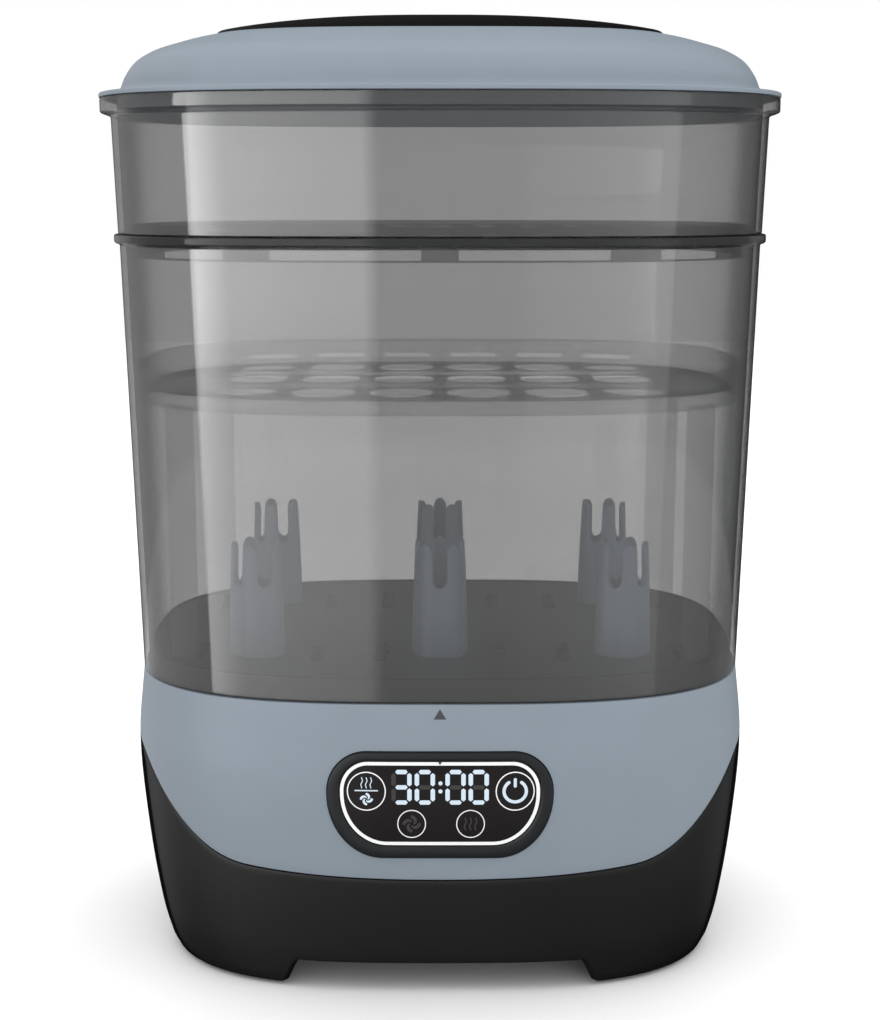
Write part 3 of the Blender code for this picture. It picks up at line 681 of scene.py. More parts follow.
def wall_rows(low, high, count, edge):
    """Rows of the outer wall between two edge lines, with both edges rounded by `edge`."""
    bends = [(edge * (1.0 - math.sin(s)), edge * (1.0 - math.cos(s)))
             for s in (math.radians(90.0 * i / 4) for i in range(5))]
    rows = [(inset, lambda t, d=rise: low(t) + d) for inset, rise in bends]
    rows += [(0.0, lambda t, f=i / count: low(t) + edge + (high(t) - low(t) - 2 * edge) * f)
             for i in range(1, count)]
    rows += [(inset, lambda t, d=drop: high(t) - d) for drop, inset in bends]
    return [(lambda t, z=z: base_half_width(z(t)), inset, z) for inset, z in rows]


def build_housing(angles):
    def top(t):
        return split_height(t) - FIT / 2.0
    profile = wall_rows(arch_height, top, 22, 0.0006)
    profile.append((lambda t: base_half_width(split_height(t)), WALL, top))
    profile += [(base_half_width(z), WALL, z) for z in (0.0345, SHELF_Z + SHELF)]
    shelf = base_half_width(SHELF_Z)
    profile += [(shelf, WALL + 0.007, SHELF_Z + SHELF), (shelf, WALL + 0.007, SHELF_Z),
                (shelf, WALL, SHELF_Z),
                (lambda t: base_half_width(arch_height(t)), WALL, arch_height)]
    housing = band("housing_shell", profile, "black", angles)
    x, z, w, h = FILTER
    vent = round_box(x, z, w + FIT, h + FIT, 0.005)
    x, z, w, h = INLET
    inlet = round_box(x, z, w + FIT, h + FIT, 0.0002, 2)
    cut(housing, [wall_cutter(vent, 0.070, 1), wall_cutter(inlet, 0.060, 1)])
    place(housing, "base", "black_plastic", "base_housing")


def build_cover(angles):
    def low(t):
        return split_height(t) + FIT / 2.0
    profile = wall_rows(low, lambda t: COVER_TOP, 20, 0.0007)
    profile += [(RIM, WALL, COVER_TOP), (RIM, WALL, COVER_TOP - 0.0070),
                (lambda t: base_half_width(split_height(t)), WALL, low)]
    cover = band("cover_shell", profile, "blue_grey", angles)
    cut(cover, [wall_cutter(shield(grow=FIT, **BEZEL), 0.070, -1)])
    place(cover, "base", "blue_grey_plastic", "base_cover")


def build_deck():
    under = DECK_FLOOR - 0.0025
    deck = plate("deck_tray", rounded([
        (DECK_RIM, 0.0045, under), (DECK_RIM, WALL + 0.0006, under),
        (DECK_RIM, WALL + 0.0006, UPSTAND_TOP), (DECK_RIM, 0.0048, UPSTAND_TOP),
        (DECK_RIM, 0.0052, DECK_FLOOR, 0.0015)], 0.0004, closed=False), "deck")
    x, y, r = HEATER
    cut(deck, [prism_up(circle(x, y, r + 0.0015, 96), *DECK_CUT),
               prism_up(circle(*DUCT, 64), *DECK_CUT)])
    place(deck, "base", "black_plastic", "base_deck")

    pan = lathe("heater_pan", [
        (r - 0.0040, 0.1125), (r - 0.0020, 0.1130), (r - 0.0010, 0.1140), (r + 0.0002, 0.1246),
        (r + 0.0045, 0.1246), (r + 0.0048, 0.1250), (r + 0.0045, 0.1254), (r + 0.0002, 0.1256),
        (r - 0.0006, 0.1252), (r - 0.0010, 0.1240), (r - 0.0019, 0.1155), (r - 0.0030, 0.1142),
        (r - 0.0060, 0.1135), (r - 0.0140, 0.1135), (r - 0.0155, 0.1139), (r - 0.0170, 0.1135),
        (0.0040, 0.1135)], "stainless", (x, y))
    place(pan, "base", "stainless", "heating_plate")


def build_feet():
    places = [(x, y) for x in (-0.082, 0.082) for y in (-0.052, 0.052)]
    for number, centre in enumerate(places, 1):
        foot = lathe(f"foot_pad_{number}", [
            (0.0035, 0.0010), (0.0045, 0.0002), (0.0062, 0.0), (0.0072, 0.0005),
            (0.0077, 0.0016), (0.0078, 0.0100), (0.0078, 0.0152)], "rubber", centre)
        place(foot, "base", "rubber", f"rubber_foot_{number}")


# ---------------- control panel
def shield(half, top, bottom, r_top, r_bottom, grow=0.0, per=16):
    """Wide outline with elliptic corners, each given as (radius in x, radius in z)."""
    half, top, bottom = half + grow, top + grow, bottom + grow
    tx, tz, bx, bz = (r + grow for r in (*r_top, *r_bottom))
    points = []
    for x, z, rx, rz, start in ((half - bx, bz - bottom, bx, bz, -90.0),
                                (half - tx, top - tz, tx, tz, 0.0),
                                (tx - half, top - tz, tx, tz, 90.0),
                                (bx - half, bz - bottom, bx, bz, 180.0)):
        for i in range(per):
            t = math.radians(start + 90.0 * i / (per - 1))
            points.append((x + rx * math.cos(t), PANEL_Z + z + rz * math.sin(t)))
    return points


def mixed(a, b, share):
    """Point part of the way from a to b."""
    return (a[0] + (b[0] - a[0]) * share, a[1] + (b[1] - a[1]) * share)


def dense(outline, step, guide=None):
    """Closed outline with extra points on its long straight stretches.

    guide is another outline of as many points that decides where points are added."""
    out = []
    n = len(outline)
    guide = guide or outline
    for i in range(n):
        j = (i + 1) % n
        parts = max(1, math.ceil(math.dist(guide[i], guide[j]) / step))
        out.extend(mixed(outline[i], outline[j], k / parts) for k in range(parts))
    return out


def on_front(x, z, proud, side=-1.0):
    """Point that stands proud of the base's front (side=-1) or back (side=1)."""
    return (x, side * plan_y(x, base_half_width(z)) + side * proud, z)


def skin_solid(name, outline, rows, mat, side=-1.0, middle=(0.0, PANEL_Z)):
    """Tile that follows the base surface. rows are (scale of the outline, height proud)."""
    cx, cz = middle
    rings = [[on_front(cx + (x - cx) * scale, cz + (z - cz) * scale, proud, side)
              for x, z in outline] for scale, proud in rows]
    return make_piece(name, *bridge(rings, False), mat)


def build_panel():
    guide = shield(**BEZEL, per=28)
    outer = dense(guide, 0.0015, guide)
    inner = dense(shield(**GLASS, grow=FIT, per=28), 0.0015, guide)
    rows = [(0.0, -0.0050), (0.0, 0.0002), (0.02, 0.0007), (0.07, 0.0010), (0.16, 0.0011),
            (0.80, 0.0012), (0.92, 0.0010), (0.98, 0.0007), (1.0, 0.0002), (1.0, -0.0050)]
    rings = [[on_front(*mixed(a, b, share), proud) for a, b in zip(outer, inner)]
             for share, proud in rows]
    bezel = make_piece("panel_bezel", *bridge(rings, True), "bezel", 50.0)
    place(bezel, "base", "bezel_gloss", "control_bezel")

    pane = dense(shield(**GLASS, per=20), 0.0015)
    rows = [(0.02, -0.0014), (0.5, -0.0014), (1.0, -0.0014), (1.0, GLASS_PROUD - 0.0003),
            (0.994, GLASS_PROUD)]
    rows += [(0.9 - 0.1 * i, GLASS_PROUD) for i in range(9)] + [(0.02, GLASS_PROUD)]
    glass = skin_solid("panel_window", pane, rows, "glass")
    place(glass, "base", "panel_glass", "control_glass")
    build_marks()


# --- flat marks: (points, faces) in the (x, z) plane, then wrapped on to the glass
def stroke(points, width, closed=False, caps=6):
    """Line of even width along points, with round ends."""
    pts = [Vector(p) for p in points]
    n = len(pts)
    left, right = [], []
    for i, p in enumerate(pts):
        if closed:
            d = (pts[(i + 1) % n] - pts[i - 1]).normalized()
        else:
            d = (pts[min(i + 1, n - 1)] - pts[max(i - 1, 0)]).normalized()
        side = Vector((-d.y, d.x)) * (width / 2.0)
        left.append(p + side)
        right.append(p - side)
    verts = [tuple(v) for v in left] + [tuple(v) for v in right]
    faces = [(i, i + 1, n + i + 1, n + i) for i in range(n - 1)]
    if closed:
        faces.append((n - 1, 0, n, 2 * n - 1))
        return verts, faces
    for end, inward in ((0, pts[1]), (n - 1, pts[-2])):
        d = (pts[end] - inward).normalized()
        side = Vector((-d.y, d.x))
        arc = []
        for k in range(1, caps):
            a = math.pi * k / caps
            spot = pts[end] + side * (width / 2.0 * math.cos(a)) + d * (width / 2.0 * math.sin(a))
            arc.append(len(verts))
            verts.append(tuple(spot))
        if end == 0:
            faces.append([n] + arc + [0])
        else:
            faces.append([n - 1] + arc + [2 * n - 1])
    return verts, faces


def patch(outline):
    """Filled outline as a mark."""
    return list(outline), [tuple(range(len(outline)))]


def arc_points(cx, cz, r, start, sweep, count):
    turns = [math.radians(start + sweep * i / (count - 1)) for i in range(count)]
    return [(cx + r * math.cos(t), cz + r * math.sin(t)) for t in turns]


def ring_mark(cx, cz, r, width):
    points = [(x, cz + (z - cz) * 1.05) for x, z in arc_points(cx, cz, r, 0.0, 357.0, 120)]
    return stroke(points, width, closed=True)


def steam(cx, cz, width, height, line):
    """Three upright wavy lines side by side."""
    marks = []
    sway = width * 0.115
    for k in (-1, 0, 1):
        x = cx + k * width / 2
        points = [(x - sway * math.sin(2.0 * math.pi * i / 24.0) * math.sin(math.pi * i / 24.0),
                   cz + height * (i / 24.0 - 0.5)) for i in range(25)]
        marks.append(stroke(points, line))
    return marks


def fan_icon(cx, cz, r):
    """Four comma-shaped blades that curl out of a small middle."""
    marks = []
    for k in range(4):
        turn = 2.0 * math.pi * k / 4
        spine = []
        for i in range(13):
            s = i / 12.0
            rad = r * (0.17 + 0.64 * s)
            bend = turn + 1.5 * s ** 1.3
            spine.append(Vector((rad * math.cos(bend), rad * math.sin(bend))))
        left, right = [], []
        for i, spot in enumerate(spine):
            d = (spine[min(i + 1, 12)] - spine[max(i - 1, 0)]).normalized()
            wide = r * (0.05 + 0.13 * min(1.0, i / 8.0))
            left.append(spot + Vector((-d.y, d.x)) * wide)
            right.append(spot - Vector((-d.y, d.x)) * wide)
        first = math.atan2(*(right[-1] - spine[-1]).yx)
        cap = [spine[-1] + Vector((math.cos(first + math.pi * j / 8.0),
                                   math.sin(first + math.pi * j / 8.0))) * r * 0.18
               for j in range(1, 8)]
        outline = right + cap + left[::-1]
        marks.append(patch([(cx + v.x, cz + v.y) for v in outline]))
    return marks


DIGIT = dict(width=0.0082, height=0.0147, bar=0.00180, gap=0.00050)
LIT = {"0": "abcdef", "3": "abcdg"}


def segment(cx, cz, length, bar, upright):
    """Bar of a digit, pointed at both ends."""
    h, w = length / 2.0, bar / 2.0
    tip = w * 0.80
    plan = [(-h, 0.0), (-h + tip, -w), (h - tip, -w), (h, 0.0), (h - tip, w), (-h + tip, w)]
    if upright:
        return patch([(cx - pz, cz + px) for px, pz in plan])
    return patch([(cx + px, cz + pz) for px, pz in plan])


def digit(cx, cz, lit):
    """Seven bevelled bars: returns (lit marks, unlit marks)."""
    w, h, bar, gap = DIGIT["width"], DIGIT["height"], DIGIT["bar"], DIGIT["gap"]
    across = w - bar * 1.5 - gap
    up = (h - bar) / 2.0 - gap * 1.8
    x = (w - bar) / 2.0
    z = (h - bar) / 2.0
    spots = {"a": (0, z, 0), "d": (0, -z, 0), "g": (0, 0, 0), "b": (x, z / 2, 1),
             "c": (x, -z / 2, 1), "f": (-x, z / 2, 1), "e": (-x, -z / 2, 1)}
    on, off = [], []
    for key, (dx, dz, upright) in spots.items():
        mark = segment(cx + dx, cz + dz, up if upright else across, bar, upright)
        (on if key in lit else off).append(mark)
    return on, off


def mark_piece(name, marks, mat, slot, proud=GLASS_PROUD):
    """Wrap flat marks on to the front of the base as thin closed solids."""
    verts, faces = [], []
    for points, polys in marks:
        start = len(verts)
        n = len(points)
        for lift in (proud + INK, proud - 0.0002):
            verts.extend(on_front(x, z, lift) for x, z in points)
        for poly in polys:
            faces.append(tuple(start + i for i in poly))
            faces.append(tuple(start + n + i for i in reversed(poly)))
        faces.extend((start + b, start + a, start + n + a, start + n + b)
                     for a, b in open_edges(polys))
    place(make_piece(name, verts, faces, mat), "base", slot)


def build_marks():
    edge = 0.0014
    frame_line = dense(shield(grow=-edge / 2.0 - 0.00005, **GLASS, per=20), 0.0010)
    mark_piece("panel_outline", [stroke(frame_line, edge, closed=True)], "white_ink",
               "display_plastic")
    left, right, big = -0.02970, 0.03030, 0.00765
    row_top, row_low = 0.0909, 0.0770
    small = 0.0056
    fan_x, dry_x = -0.01147, 0.01236
    mark_piece("button_rings", [
        ring_mark(left, row_top, big, 0.00045), ring_mark(right, row_top, big, 0.00045),
        ring_mark(fan_x, row_low, small, 0.00038), ring_mark(dry_x, row_low, small, 0.00038)],
        "white_ink", "display_plastic")
    bar = stroke([(left - 0.0045 + 0.0009 * i, row_top + 0.0003) for i in range(11)], 0.00050)
    mark_piece("steam_dry_icon", steam(left, row_top + 0.0036, 0.0037, 0.0044, 0.00036) + [bar]
               + fan_icon(left, row_top - 0.0033, 0.0027), "digits", "display_plastic")
    power = [stroke(arc_points(right, row_top, 0.0045, 124.0, 292.0, 60), 0.00130),
             stroke([(right, row_top + 0.0022 + 0.0007 * i) for i in range(5)], 0.00125)]
    mark_piece("power_icon", power, "digits", "display_plastic")
    mark_piece("fan_icon", fan_icon(fan_x, row_low, 0.0038), "dim_ink", "display_plastic")
    mark_piece("steam_icon", steam(dry_x, row_low, 0.0042, 0.0052, 0.00050), "dim_ink",
               "display_plastic")
    lit, unlit = [], []
    row = 0.0927
    for x, figure in ((-0.01551, "3"), (-0.0061, "0"), (0.00626, "0"), (0.01559, "0")):
        on, off = digit(x, row, LIT[figure])
        lit += on
        unlit += off
    for dz in (0.0017, -0.0017):
        lit.append(patch(circle(0.00018, row + dz, 0.00085, 20)))
    mark_piece("clock_digits", lit, "digits", "display_plastic")
    mark_piece("unlit_bars", unlit, "dim_ink", "display_plastic")
    top = PANEL_Z + GLASS["top"]
    notch = patch([(-0.0009, top + 0.0002), (0.0, top - 0.0013), (0.0009, top + 0.0002)])
    mark_piece("outline_notch", [notch], "dark_ink", "panel_glass", GLASS_PROUD + 0.00008)
    arrow_z = 0.1205
    arrow = patch([(-0.0025, arrow_z), (0.0025, arrow_z), (0.0, arrow_z + 0.0041)])
    mark_piece("alignment_mark", [arrow], "dark_ink", "bezel_gloss", 0.00002)


# ---------------- back of the base
def build_rear():
    x, z, w, h = FILTER
    outline = dense(round_box(x, z, w, h, 0.005, 8), 0.002)
    rows = [(0.05, -0.0022), (0.5, -0.0022), (0.98, -0.0022), (1.0, -0.0018), (1.0, -0.0004),
            (0.99, 0.0), *((0.9 - 0.1 * i, 0.0) for i in range(9)), (0.05, 0.0)]
    cover = skin_solid("filter_grille", outline, rows, "black", 1.0, (x, z))
    slots = [round_box(x, z + (i - 2.5) * 0.0058, 0.023, 0.0012, 0.0012) for i in range(6)]
    cut(cover, [wall_cutter(slot, 0.070, 1) for slot in slots])
    place(cover, "filter_door", "black_plastic", "filter_cover")
    # raised lip to pull the cover out by
    lip = round_box(x, z - 0.0175, 0.009, 0.0011, 0.0010, 6)
    rows = [(0.6, -0.0004), (1.0, -0.0004), (1.0, 0.0009), (0.92, 0.0013), (0.4, 0.0014)]
    grip = skin_solid("filter_pull_lip", lip, rows, "black", 1.0, (x, z - 0.0175))
    place(grip, "filter_door", "black_plastic")


# ---------------- rack and posts
def posts():
    """Name, x, y and top of every bottle post."""
    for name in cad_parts:
        if name.startswith("bottle_post"):
            low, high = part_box(name)
            yield name, (low.x + high.x) / 2.0, math.copysign(POST_ROW, low.y + high.y), high.z


def build_rack():
    lip = 0.1228
    rack = plate("rack_plate", rounded([
        (DECK_RIM, 0.0082, RACK_TOP - 0.0028), (DECK_RIM, 0.0076, lip), (DECK_RIM, 0.0057, lip),
        (DECK_RIM, 0.0056, RACK_TOP)], 0.0005, closed=False), "rack")
    blocks = []
    for _, x, y, _ in posts():
        blocks.append(prism_up(circle(x, y, 0.0075, 40), *RACK_CUT))
        for side in (-1, 1):
            blocks.append(prism_up(round_box(x + side * 0.025, y, 0.003, 0.015, 0.003),
                                   *RACK_CUT))
    cut(rack, blocks)
    place(rack, "rack", "dark_tray", "bottle_rack")


def post_sheet(base, height):
    """Unrolled post: points as (angle, height), faces, and the points of the lowest row."""
    gap = math.pi / FINGERS - FINGER_HALF
    slot_floor = base + SLOT_FLOOR
    round_low = POST_RADIUS * gap
    neck = slot_floor + round_low
    across_finger, across_slot, rows_low, rows_up = 12, 10, 10, 18
    round_from = 0.70           # share of a finger's height from which its tip is round
    columns = []
    for k in range(FINGERS):
        middle = math.radians(90.0) + 2.0 * math.pi * k / FINGERS
        for i in range(across_finger):
            u = -math.cos(math.pi * i / across_finger)
            columns.append((middle + u * FINGER_HALF, neck))
        for i in range(across_slot):
            v = -math.cos(math.pi * i / across_slot)
            low = slot_floor + round_low * (1.0 - math.sqrt(max(0.0, 1.0 - v * v)))
            columns.append((middle + math.pi / FINGERS + v * gap, low))
    n = len(columns)
    points, faces = [], []
    for row in range(rows_low + 1):
        f = row / rows_low
        points.extend((t, base + (top - base) * f) for t, top in columns)
    for row in range(rows_low):
        for i in range(n):
            j = (i + 1) % n
            faces.append((row * n + i, row * n + j, (row + 1) * n + j, (row + 1) * n + i))
    stride = across_finger + across_slot
    for k in range(FINGERS):
        middle = math.radians(90.0) + 2.0 * math.pi * k / FINGERS
        last = [rows_low * n + (k * stride + i) % n for i in range(across_finger + 1)]
        for row in range(1, rows_up + 1):
            s = math.sin(row / rows_up * math.pi / 2.0)
            w = 1.0 - 0.10 * s
            if s > round_from:
                w *= math.sqrt(max(0.0, 1.0 - ((s - round_from) / (1.0 - round_from)) ** 2))
            w = max(w, 0.03)
            here = []
            for i in range(across_finger + 1):
                u = -math.cos(math.pi * i / across_finger)
                here.append(len(points))
                points.append((middle + u * FINGER_HALF * w,
                               neck + (base + height - neck) * s))
            for i in range(across_finger):
                faces.append((last[i], last[i + 1], here[i + 1], here[i]))
            last = here
    return points, faces, n


def build_post(name, x, y, top):
    base = RACK_TOP + FIT
    height = top - base
    sheet, sheet_faces, n = post_sheet(base, height)
    count = len(sheet)
    turn = 0.0 if abs(x) < 0.001 else math.copysign(POST_TURN, -x)

    def spot(t, z, inset, lowest):
        lobe = 0.5 - 0.5 * math.cos(FINGERS * (t - math.pi / 2.0))
        r = (POST_RADIUS - POST_LEAN * max(0.0, (z - base) / height) ** 1.5
             - POST_LOBE * lobe) - inset
        return (x + r * math.cos(t + turn), y + r * math.sin(t + turn), max(z, lowest))
    verts = [spot(t, z, 0.0, base) for t, z in sheet]
    verts += [spot(t, z, POST_WALL, base + 0.003) for t, z in sheet]
    faces = []
    for poly in sheet_faces:
        faces += [poly, tuple(count + i for i in reversed(poly))]
    # the lowest row of the sheet is closed by two flat faces, every other open edge by a strip
    faces += [(b, a, count + a, count + b) for a, b in open_edges(sheet_faces)
              if a >= n or b >= n]
    faces += [tuple(range(n))[::-1], tuple(count + i for i in range(n))]
    post = make_piece(name.replace("bottle_post", "finger_post"), verts, faces, "post", 45.0)
    soften(post, 0.00055, 3)
    place(post, "rack", "blue_grey_plastic", name)


# ---------------- tiers
def build_tiers():
    top, ring, ring_low = LOWER_HALF, 0.1370, LOWER_TOP - 0.0033
    lower = band("lower_tier_wall", rounded([
        (RIM, 0.0, LOWER_BOTTOM, 0.0007), (top, 0.0, ring_low - 0.0009, 0.0005),
        (ring, 0.0, ring_low, 0.0008), (ring, 0.0, LOWER_TOP, 0.0008),
        (top, 0.0042, LOWER_TOP, 0.0004), (top, 0.0042, LOWER_TOP - 0.0025, 0.0004),
        (top, WALL, LOWER_TOP - 0.0045, 0.0006), (RIM, WALL, LOWER_BOTTOM, 0.0007)],
        0.0005), "smoke_lower")
    place(lower, "lower_tier", "smoke_tier", "lower_body")
    flange = 0.1409
    upper = band("upper_tier_wall", rounded([
        (UPPER_FOOT, 0.0, UPPER_BOTTOM, 0.0006), (UPPER_HALF, 0.0, UPPER_TOP - 0.0070, 0.0010),
        (flange, 0.0, UPPER_TOP - 0.0055, 0.0006), (flange, 0.0, UPPER_TOP, 0.0006),
        (UPPER_HALF, WALL, UPPER_TOP, 0.0006), (0.1366, WALL, UPPER_TOP - 0.0070, 0.0020),
        (UPPER_FOOT, WALL, UPPER_BOTTOM, 0.0006)], 0.0005), "smoke_upper")
    place(upper, "upper_tier", "smoke_tier", "upper_body")


# ---------------- trays
def curved_strip(ref, outset, inset, t0, t1, z0, z1, count=16):
    """Closed piece of a ring between two angles: (verts, faces)."""
    rings = []
    for i in range(count + 1):
        t = t0 + (t1 - t0) * i / count
        points = []
        for cut_in, z in ((outset, z0), (inset, z0), (inset, z1), (outset, z1)):
            r = plan_radius(t, ref - cut_in, ref * DEPTH_RATIO - cut_in)
            points.append((r * math.cos(t), r * math.sin(t), z))
        rings.append(points)
    return bridge(rings, False)


def build_middle_tray():
    ref = 0.1332
    floor = MID_TOP - 0.0090
    tray = plate("clear_tray_shell", rounded([
        (ref, 0.0075, floor - 0.0018), (ref, 0.0068, floor - 0.0056),
        (ref, 0.0047, floor - 0.0056), (ref, 0.0044, floor - 0.0038), (ref, 0.0038, MID_TOP),
        (ref, 0.0060, MID_TOP), (ref, 0.0064, floor, 0.0010)], 0.0004, closed=False), "clear")
    blocks = []
    for i in range(6):
        side = i in (0, 5)
        for j in (-1, 0, 1):
            reach = 0.018 if side and j != 0 else 0.022
            y = j * (0.048 if side else 0.051)
            blocks.append(prism_up(round_box((i - 2.5) * 0.032, y, 0.0130, reach, 0.0120, 10),
                                   floor - 0.006, floor + 0.005))
    # long slots through the rim, between short ribs
    z0, z1 = floor + 0.0002, floor + 0.0024
    for i in range(6):
        slot = round_box((i - 2.5) * 0.0325, (z0 + z1) / 2.0, 0.01115, (z1 - z0) / 2.0, 0.0009, 3)
        reach = 0.050 if i in (0, 5) else 0.070
        blocks += [wall_cutter(slot, reach, side) for side in (-1, 1)]
    cut(tray, blocks)
    soften(tray, 0.0003)
    place(tray, "middle_tray", "clear_tray", "middle_tray")
    wide = math.radians(3.75)
    middles = [math.radians(a) for a in (29.75, 150.25, 209.75, 330.25)]
    legs = [curved_strip(0.1292, 0.0047, 0.0068, mid - wide, mid + wide, RACK_TOP + FIT,
                         floor - 0.0050) for mid in middles]
    stand = make_piece("clear_tray_legs", *merge(legs), "clear")
    soften(stand, 0.0004)
    place(stand, "middle_tray", "clear_tray")


def build_top_tray():
    ref, rim, z = LOWER_HALF, UPPER_FOOT, TOP_TRAY_LOW
    tray = plate("dark_tray_shell", rounded([
        (ref, 0.0092, z + 0.0090), (ref, 0.0088, z), (ref, 0.0070, z), (ref, 0.0066, z + 0.0098),
        (rim, 0.0030, z + 0.0098), (rim, 0.0030, z + 0.0110), (rim, 0.0048, z + 0.0114),
        (rim, 0.0052, z + 0.0131), (rim, 0.0066, z + 0.0131), (rim, 0.0072, z + 0.0113, 0.0008)],
        0.0003, closed=False), "dark_clear")
    blocks = []
    for i in range(-5, 6):
        for side in (-1, 1):
            length = 0.068 - 0.014 * max(0, abs(i) - 3)
            y = side * 0.037 * (length + 0.006) / 0.074
            blocks.append(prism_up(round_box(i * 0.0205, y, 0.0045, length / 2.0, 0.0045),
                                   z + 0.004, z + 0.016))
    # windows low in the skirt, and thin slots above them
    holes = []
    for x0, x1 in ((-0.110, -0.0845), (-0.0660, -0.0072), (0.0072, 0.0660), (0.0860, 0.110)):
        holes.append(round_box((x0 + x1) / 2.0, z + 0.0027, (x1 - x0) / 2.0, 0.0020, 0.0006, 3))
    holes += [round_box(i * 0.0300, z + 0.0063, 0.0078, 0.0006, 0.0005, 3) for i in range(-3, 4)]
    cut(tray, blocks + [wall_cutter(hole, 0.050, side) for hole in holes for side in (-1, 1)])
    place(tray, "top_tray", "dark_tray", "top_tray")


# ---------------- lid
def dent(item, x, y, rx, ry, depth):
    """Press a shallow oval hollow into the upper surface."""
    for vert in item.data.vertices:
        d = ((vert.co.x - x) / rx) ** 2 + ((vert.co.y - y) / ry) ** 2
        if d < 1.0 and vert.co.z > UPPER_TOP + 0.012:
            vert.co.z -= depth * (1.0 - d) ** 2


def vents(half_x, half_y, top):
    """Cutters for the row of three slots in the middle of the lid."""
    return [prism_up(round_box(x, 0.0, half_x, half_y, half_x), 0.374, top)
            for x in (-0.010, 0.0, 0.010)]


def build_lid():
    z = LID_BOTTOM
    dome = flow([(0.1340, 0.0, z + 0.0024), (0.1324, 0.0, z + 0.0039), (0.1303, 0.0, z + 0.0087),
                 (0.1260, 0.0, z + 0.0143), (0.1190, 0.0, z + 0.0185), (0.1110, 0.0, z + 0.0212),
                 (0.1030, 0.0, z + 0.0235), (0.0948, 0.0, z + 0.0253)])
    profile = rounded([
        (0.0930, 0.0, z + 0.0207), (0.1160, 0.0, z + 0.0174), (0.1234, 0.0, z + 0.0132),
        (0.1281, 0.0, z + 0.0077), (0.1290, 0.0, z + 0.0021), (UPPER_HALF, 0.0052, z + 0.0009),
        (0.1366, 0.0050, z - 0.0071), (0.1366, WALL + 0.0007, z - 0.0071),
        (UPPER_HALF, WALL + 0.0005, z, 0.0003), (LID_HALF, 0.0, z, 0.0004),
        (LID_HALF, 0.0, z + 0.0018, 0.0008), dome[0]], 0.0005, closed=False)[:-1]
    profile += dome + [Vector((0.0944, 0.0, z + 0.0249)), Vector((0.0944, 0.0, z + 0.0225))]
    lid = plate("lid_dome", profile, "blue_grey")
    for side in (-1, 1):
        dent(lid, side * 0.1085, 0.0, 0.0075, 0.032, 0.0022)
    cut(lid, vents(0.002, 0.006, 0.395))
    place(lid, "lid", "blue_grey_plastic", "lid_shell")

    edge, shoulder = 0.0941, 0.985

    def crown(share):
        """Point of the cap's upper side at a share of its half width."""
        return (edge * share, 0.0, CAP_LOW + 0.0036 + 0.0084 * (1.0 - share * share) ** 0.9)
    profile = rounded([(0.0892, 0.0, CAP_LOW), (edge, 0.0, CAP_LOW, 0.0004),
                       (edge, 0.0, CAP_LOW + 0.0026, 0.0006), crown(shoulder)],
                      0.0006, closed=False)
    profile += [crown(shoulder * (1.0 - i / 34.0)) for i in range(1, 34)]
    cap = plate("lid_cap_dome", profile, "cap")
    cut(cap, vents(0.0015, 0.005, 0.405))
    place(cap, "lid", "black_plastic", "lid_cap")


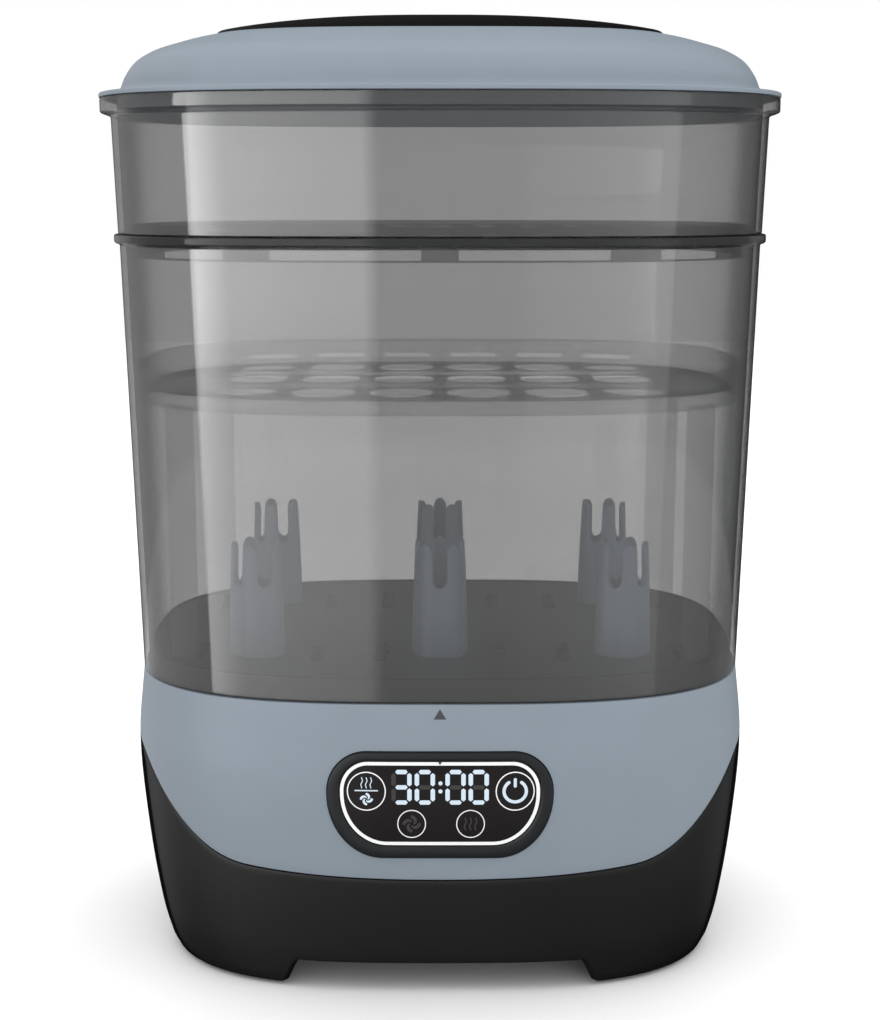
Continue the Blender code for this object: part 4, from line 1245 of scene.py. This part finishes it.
# ---------------- studio
def build_world():
    """Plain white for the camera, a softbox between darker parts for the gloss of the walls,
    and a calmer version, brighter overhead, for rough surfaces."""
    world = bpy.data.worlds.new("studio")
    bpy.context.scene.world = world
    world.use_nodes = True
    tree = world.node_tree
    tree.nodes.clear()

    def product(first, *others):
        for other in others:
            first = maths(tree, "MULTIPLY", first, other)
        return first

    def total(first, second):
        return maths(tree, "ADD", first, second)
    direction = add(tree, "ShaderNodeTexCoord").outputs["Generated"]
    x, y, z = add(tree, "ShaderNodeSeparateXYZ", Vector=direction).outputs
    turn = maths(tree, "ARCTAN2", x, product(y, -1.0))

    def by_turn(start, end, first, last, of=turn):
        """Change between two directions, in degrees from the front, negative on the left."""
        return spread(tree, of, math.radians(start), math.radians(end), first, last)

    def by_height(low, high, first, last):
        """Change between two heights, given as the upward part of the direction."""
        return spread(tree, z, low, high, first, last)

    # tall softbox on the left, brightest at its outer edge
    level = product(by_turn(-58.0, -42.0, SOFTBOX, SOFTBOX * 0.45),
                    by_turn(-43.0, -6.0, 1.0, 0.64))
    softbox = product(by_turn(-62.5, -61.0, 0.0, 1.0), level, by_turn(-6.5, -4.5, 1.0, 0.0))
    # faint one on the right
    right = product(by_turn(5.0, 50.0, 0.0, 0.75), by_turn(52.0, 53.5, 1.0, 0.0))
    # both end above the camera and fade towards the table
    boxes = product(total(softbox, right), by_height(0.55, 0.80, 1.0, 0.0),
                    by_height(-0.27, -0.19, 0.42, 1.0), by_height(-0.335, -0.27, 0.70, 1.0))
    # grey on the right and dark behind the object, so that its edges stand out
    around = product(by_turn(52.0, 100.0, AROUND, RIGHT_REAR), by_turn(120.0, 150.0, 1.0, BEHIND),
                     by_turn(-165.0, -150.0, BEHIND, 0.55))
    around = total(around, product(around, by_turn(-150.0, -105.0, 0.0, 0.8)))
    near = (-0.56, -0.40)       # where the table right under the object goes dark
    table = product(by_height(-0.295, -0.280, TABLE, 0.0), by_height(*near, 0.0, 1.0))
    mirrored = product(total(boxes, around), by_height(*near, BELOW, 1.0))
    mirrored = total(mirrored, table)
    # what rough surfaces see
    aside = maths(tree, "ABSOLUTE", turn)
    calm = product(by_turn(30.0, 80.0, AROUND, AROUND * SIDES, aside),
                   by_height(0.30, 0.90, 1.0, OVERHEAD), by_height(-0.30, 0.05, BELOW, 1.0))
    seen, gloss, lit = (
        add(tree, "ShaderNodeBackground", Color=(1.0, 1.0, 1.0, 1.0), Strength=strength)
        .outputs["Background"] for strength in (1.0, mirrored, calm))
    path = add(tree, "ShaderNodeLightPath").outputs
    unseen = mix_shaders(tree, path["Is Glossy Ray"], lit, gloss)
    add(tree, "ShaderNodeOutputWorld",
        Surface=mix_shaders(tree, path["Is Camera Ray"], unseen, seen))


def area_light(name, place_at, size, power, aim):
    data = bpy.data.lights.new(name, "AREA")
    data.shape = "RECTANGLE"
    data.size, data.size_y = size
    data.energy = power
    item = new_object(name, data)
    item.location = place_at
    item.rotation_mode = "QUATERNION"
    item.rotation_quaternion = (Vector(aim) - Vector(place_at)).to_track_quat("-Z", "Y")
    item.visible_glossy = False


def build_floor():
    work = bmesh.new()
    bmesh.ops.create_grid(work, x_segments=8, y_segments=8, size=3.0)
    mesh = bpy.data.meshes.new("studio_floor")
    work.to_mesh(mesh)
    work.free()
    made, tree, shader = start_material("studio_floor")
    tone = blend_colour(tree, noise(tree, 0.20, detail=2.0), 0.3, 0.7, (0.70, 0.70, 0.70),
                        (0.73, 0.73, 0.73))
    feed(tree, shader, Base_Color=tone, Roughness=0.9, Specular_IOR_Level=0.0)
    mesh.materials.append(made)
    floor = new_object("studio_floor", mesh)
    floor.location = (0.0, 0.0, -0.0003)
    floor.visible_glossy = False


def build_camera():
    data = bpy.data.cameras.new("camera")
    data.lens = LENS
    data.sensor_width = 36.0
    data.clip_start = 0.01
    data.clip_end = 30.0
    item = new_object("camera", data)
    item.location = CAMERA
    item.rotation_euler = (math.radians(90.0 - CAMERA_DOWN), 0.0, 0.0)
    bpy.context.scene.camera = item


def build_studio():
    scene = bpy.context.scene
    scene.view_settings.view_transform = "Standard"
    scene.view_settings.look = "None"
    scene.cycles.transparent_max_bounces = 32
    build_world()
    build_floor()
    area_light("overhead", (0.0, -0.1, 1.5), (1.6, 1.6), 9.0, (0.0, 0.0, 0.0))
    area_light("front_fill", (0.60, -1.25, 0.22), (0.9, 0.5), 3.4, (0.0, 0.0, 0.10))
    build_camera()


# ---------------- build everything
build_studio()
finish_cad_nodes()
BASE_RING = base_angles()
build_housing(BASE_RING)
build_cover(BASE_RING)
build_deck()
build_feet()
build_panel()
build_rear()
build_rack()
for post_place in sorted(posts()):
    build_post(*post_place)
build_tiers()
build_middle_tray()
build_top_tray()
build_lid()
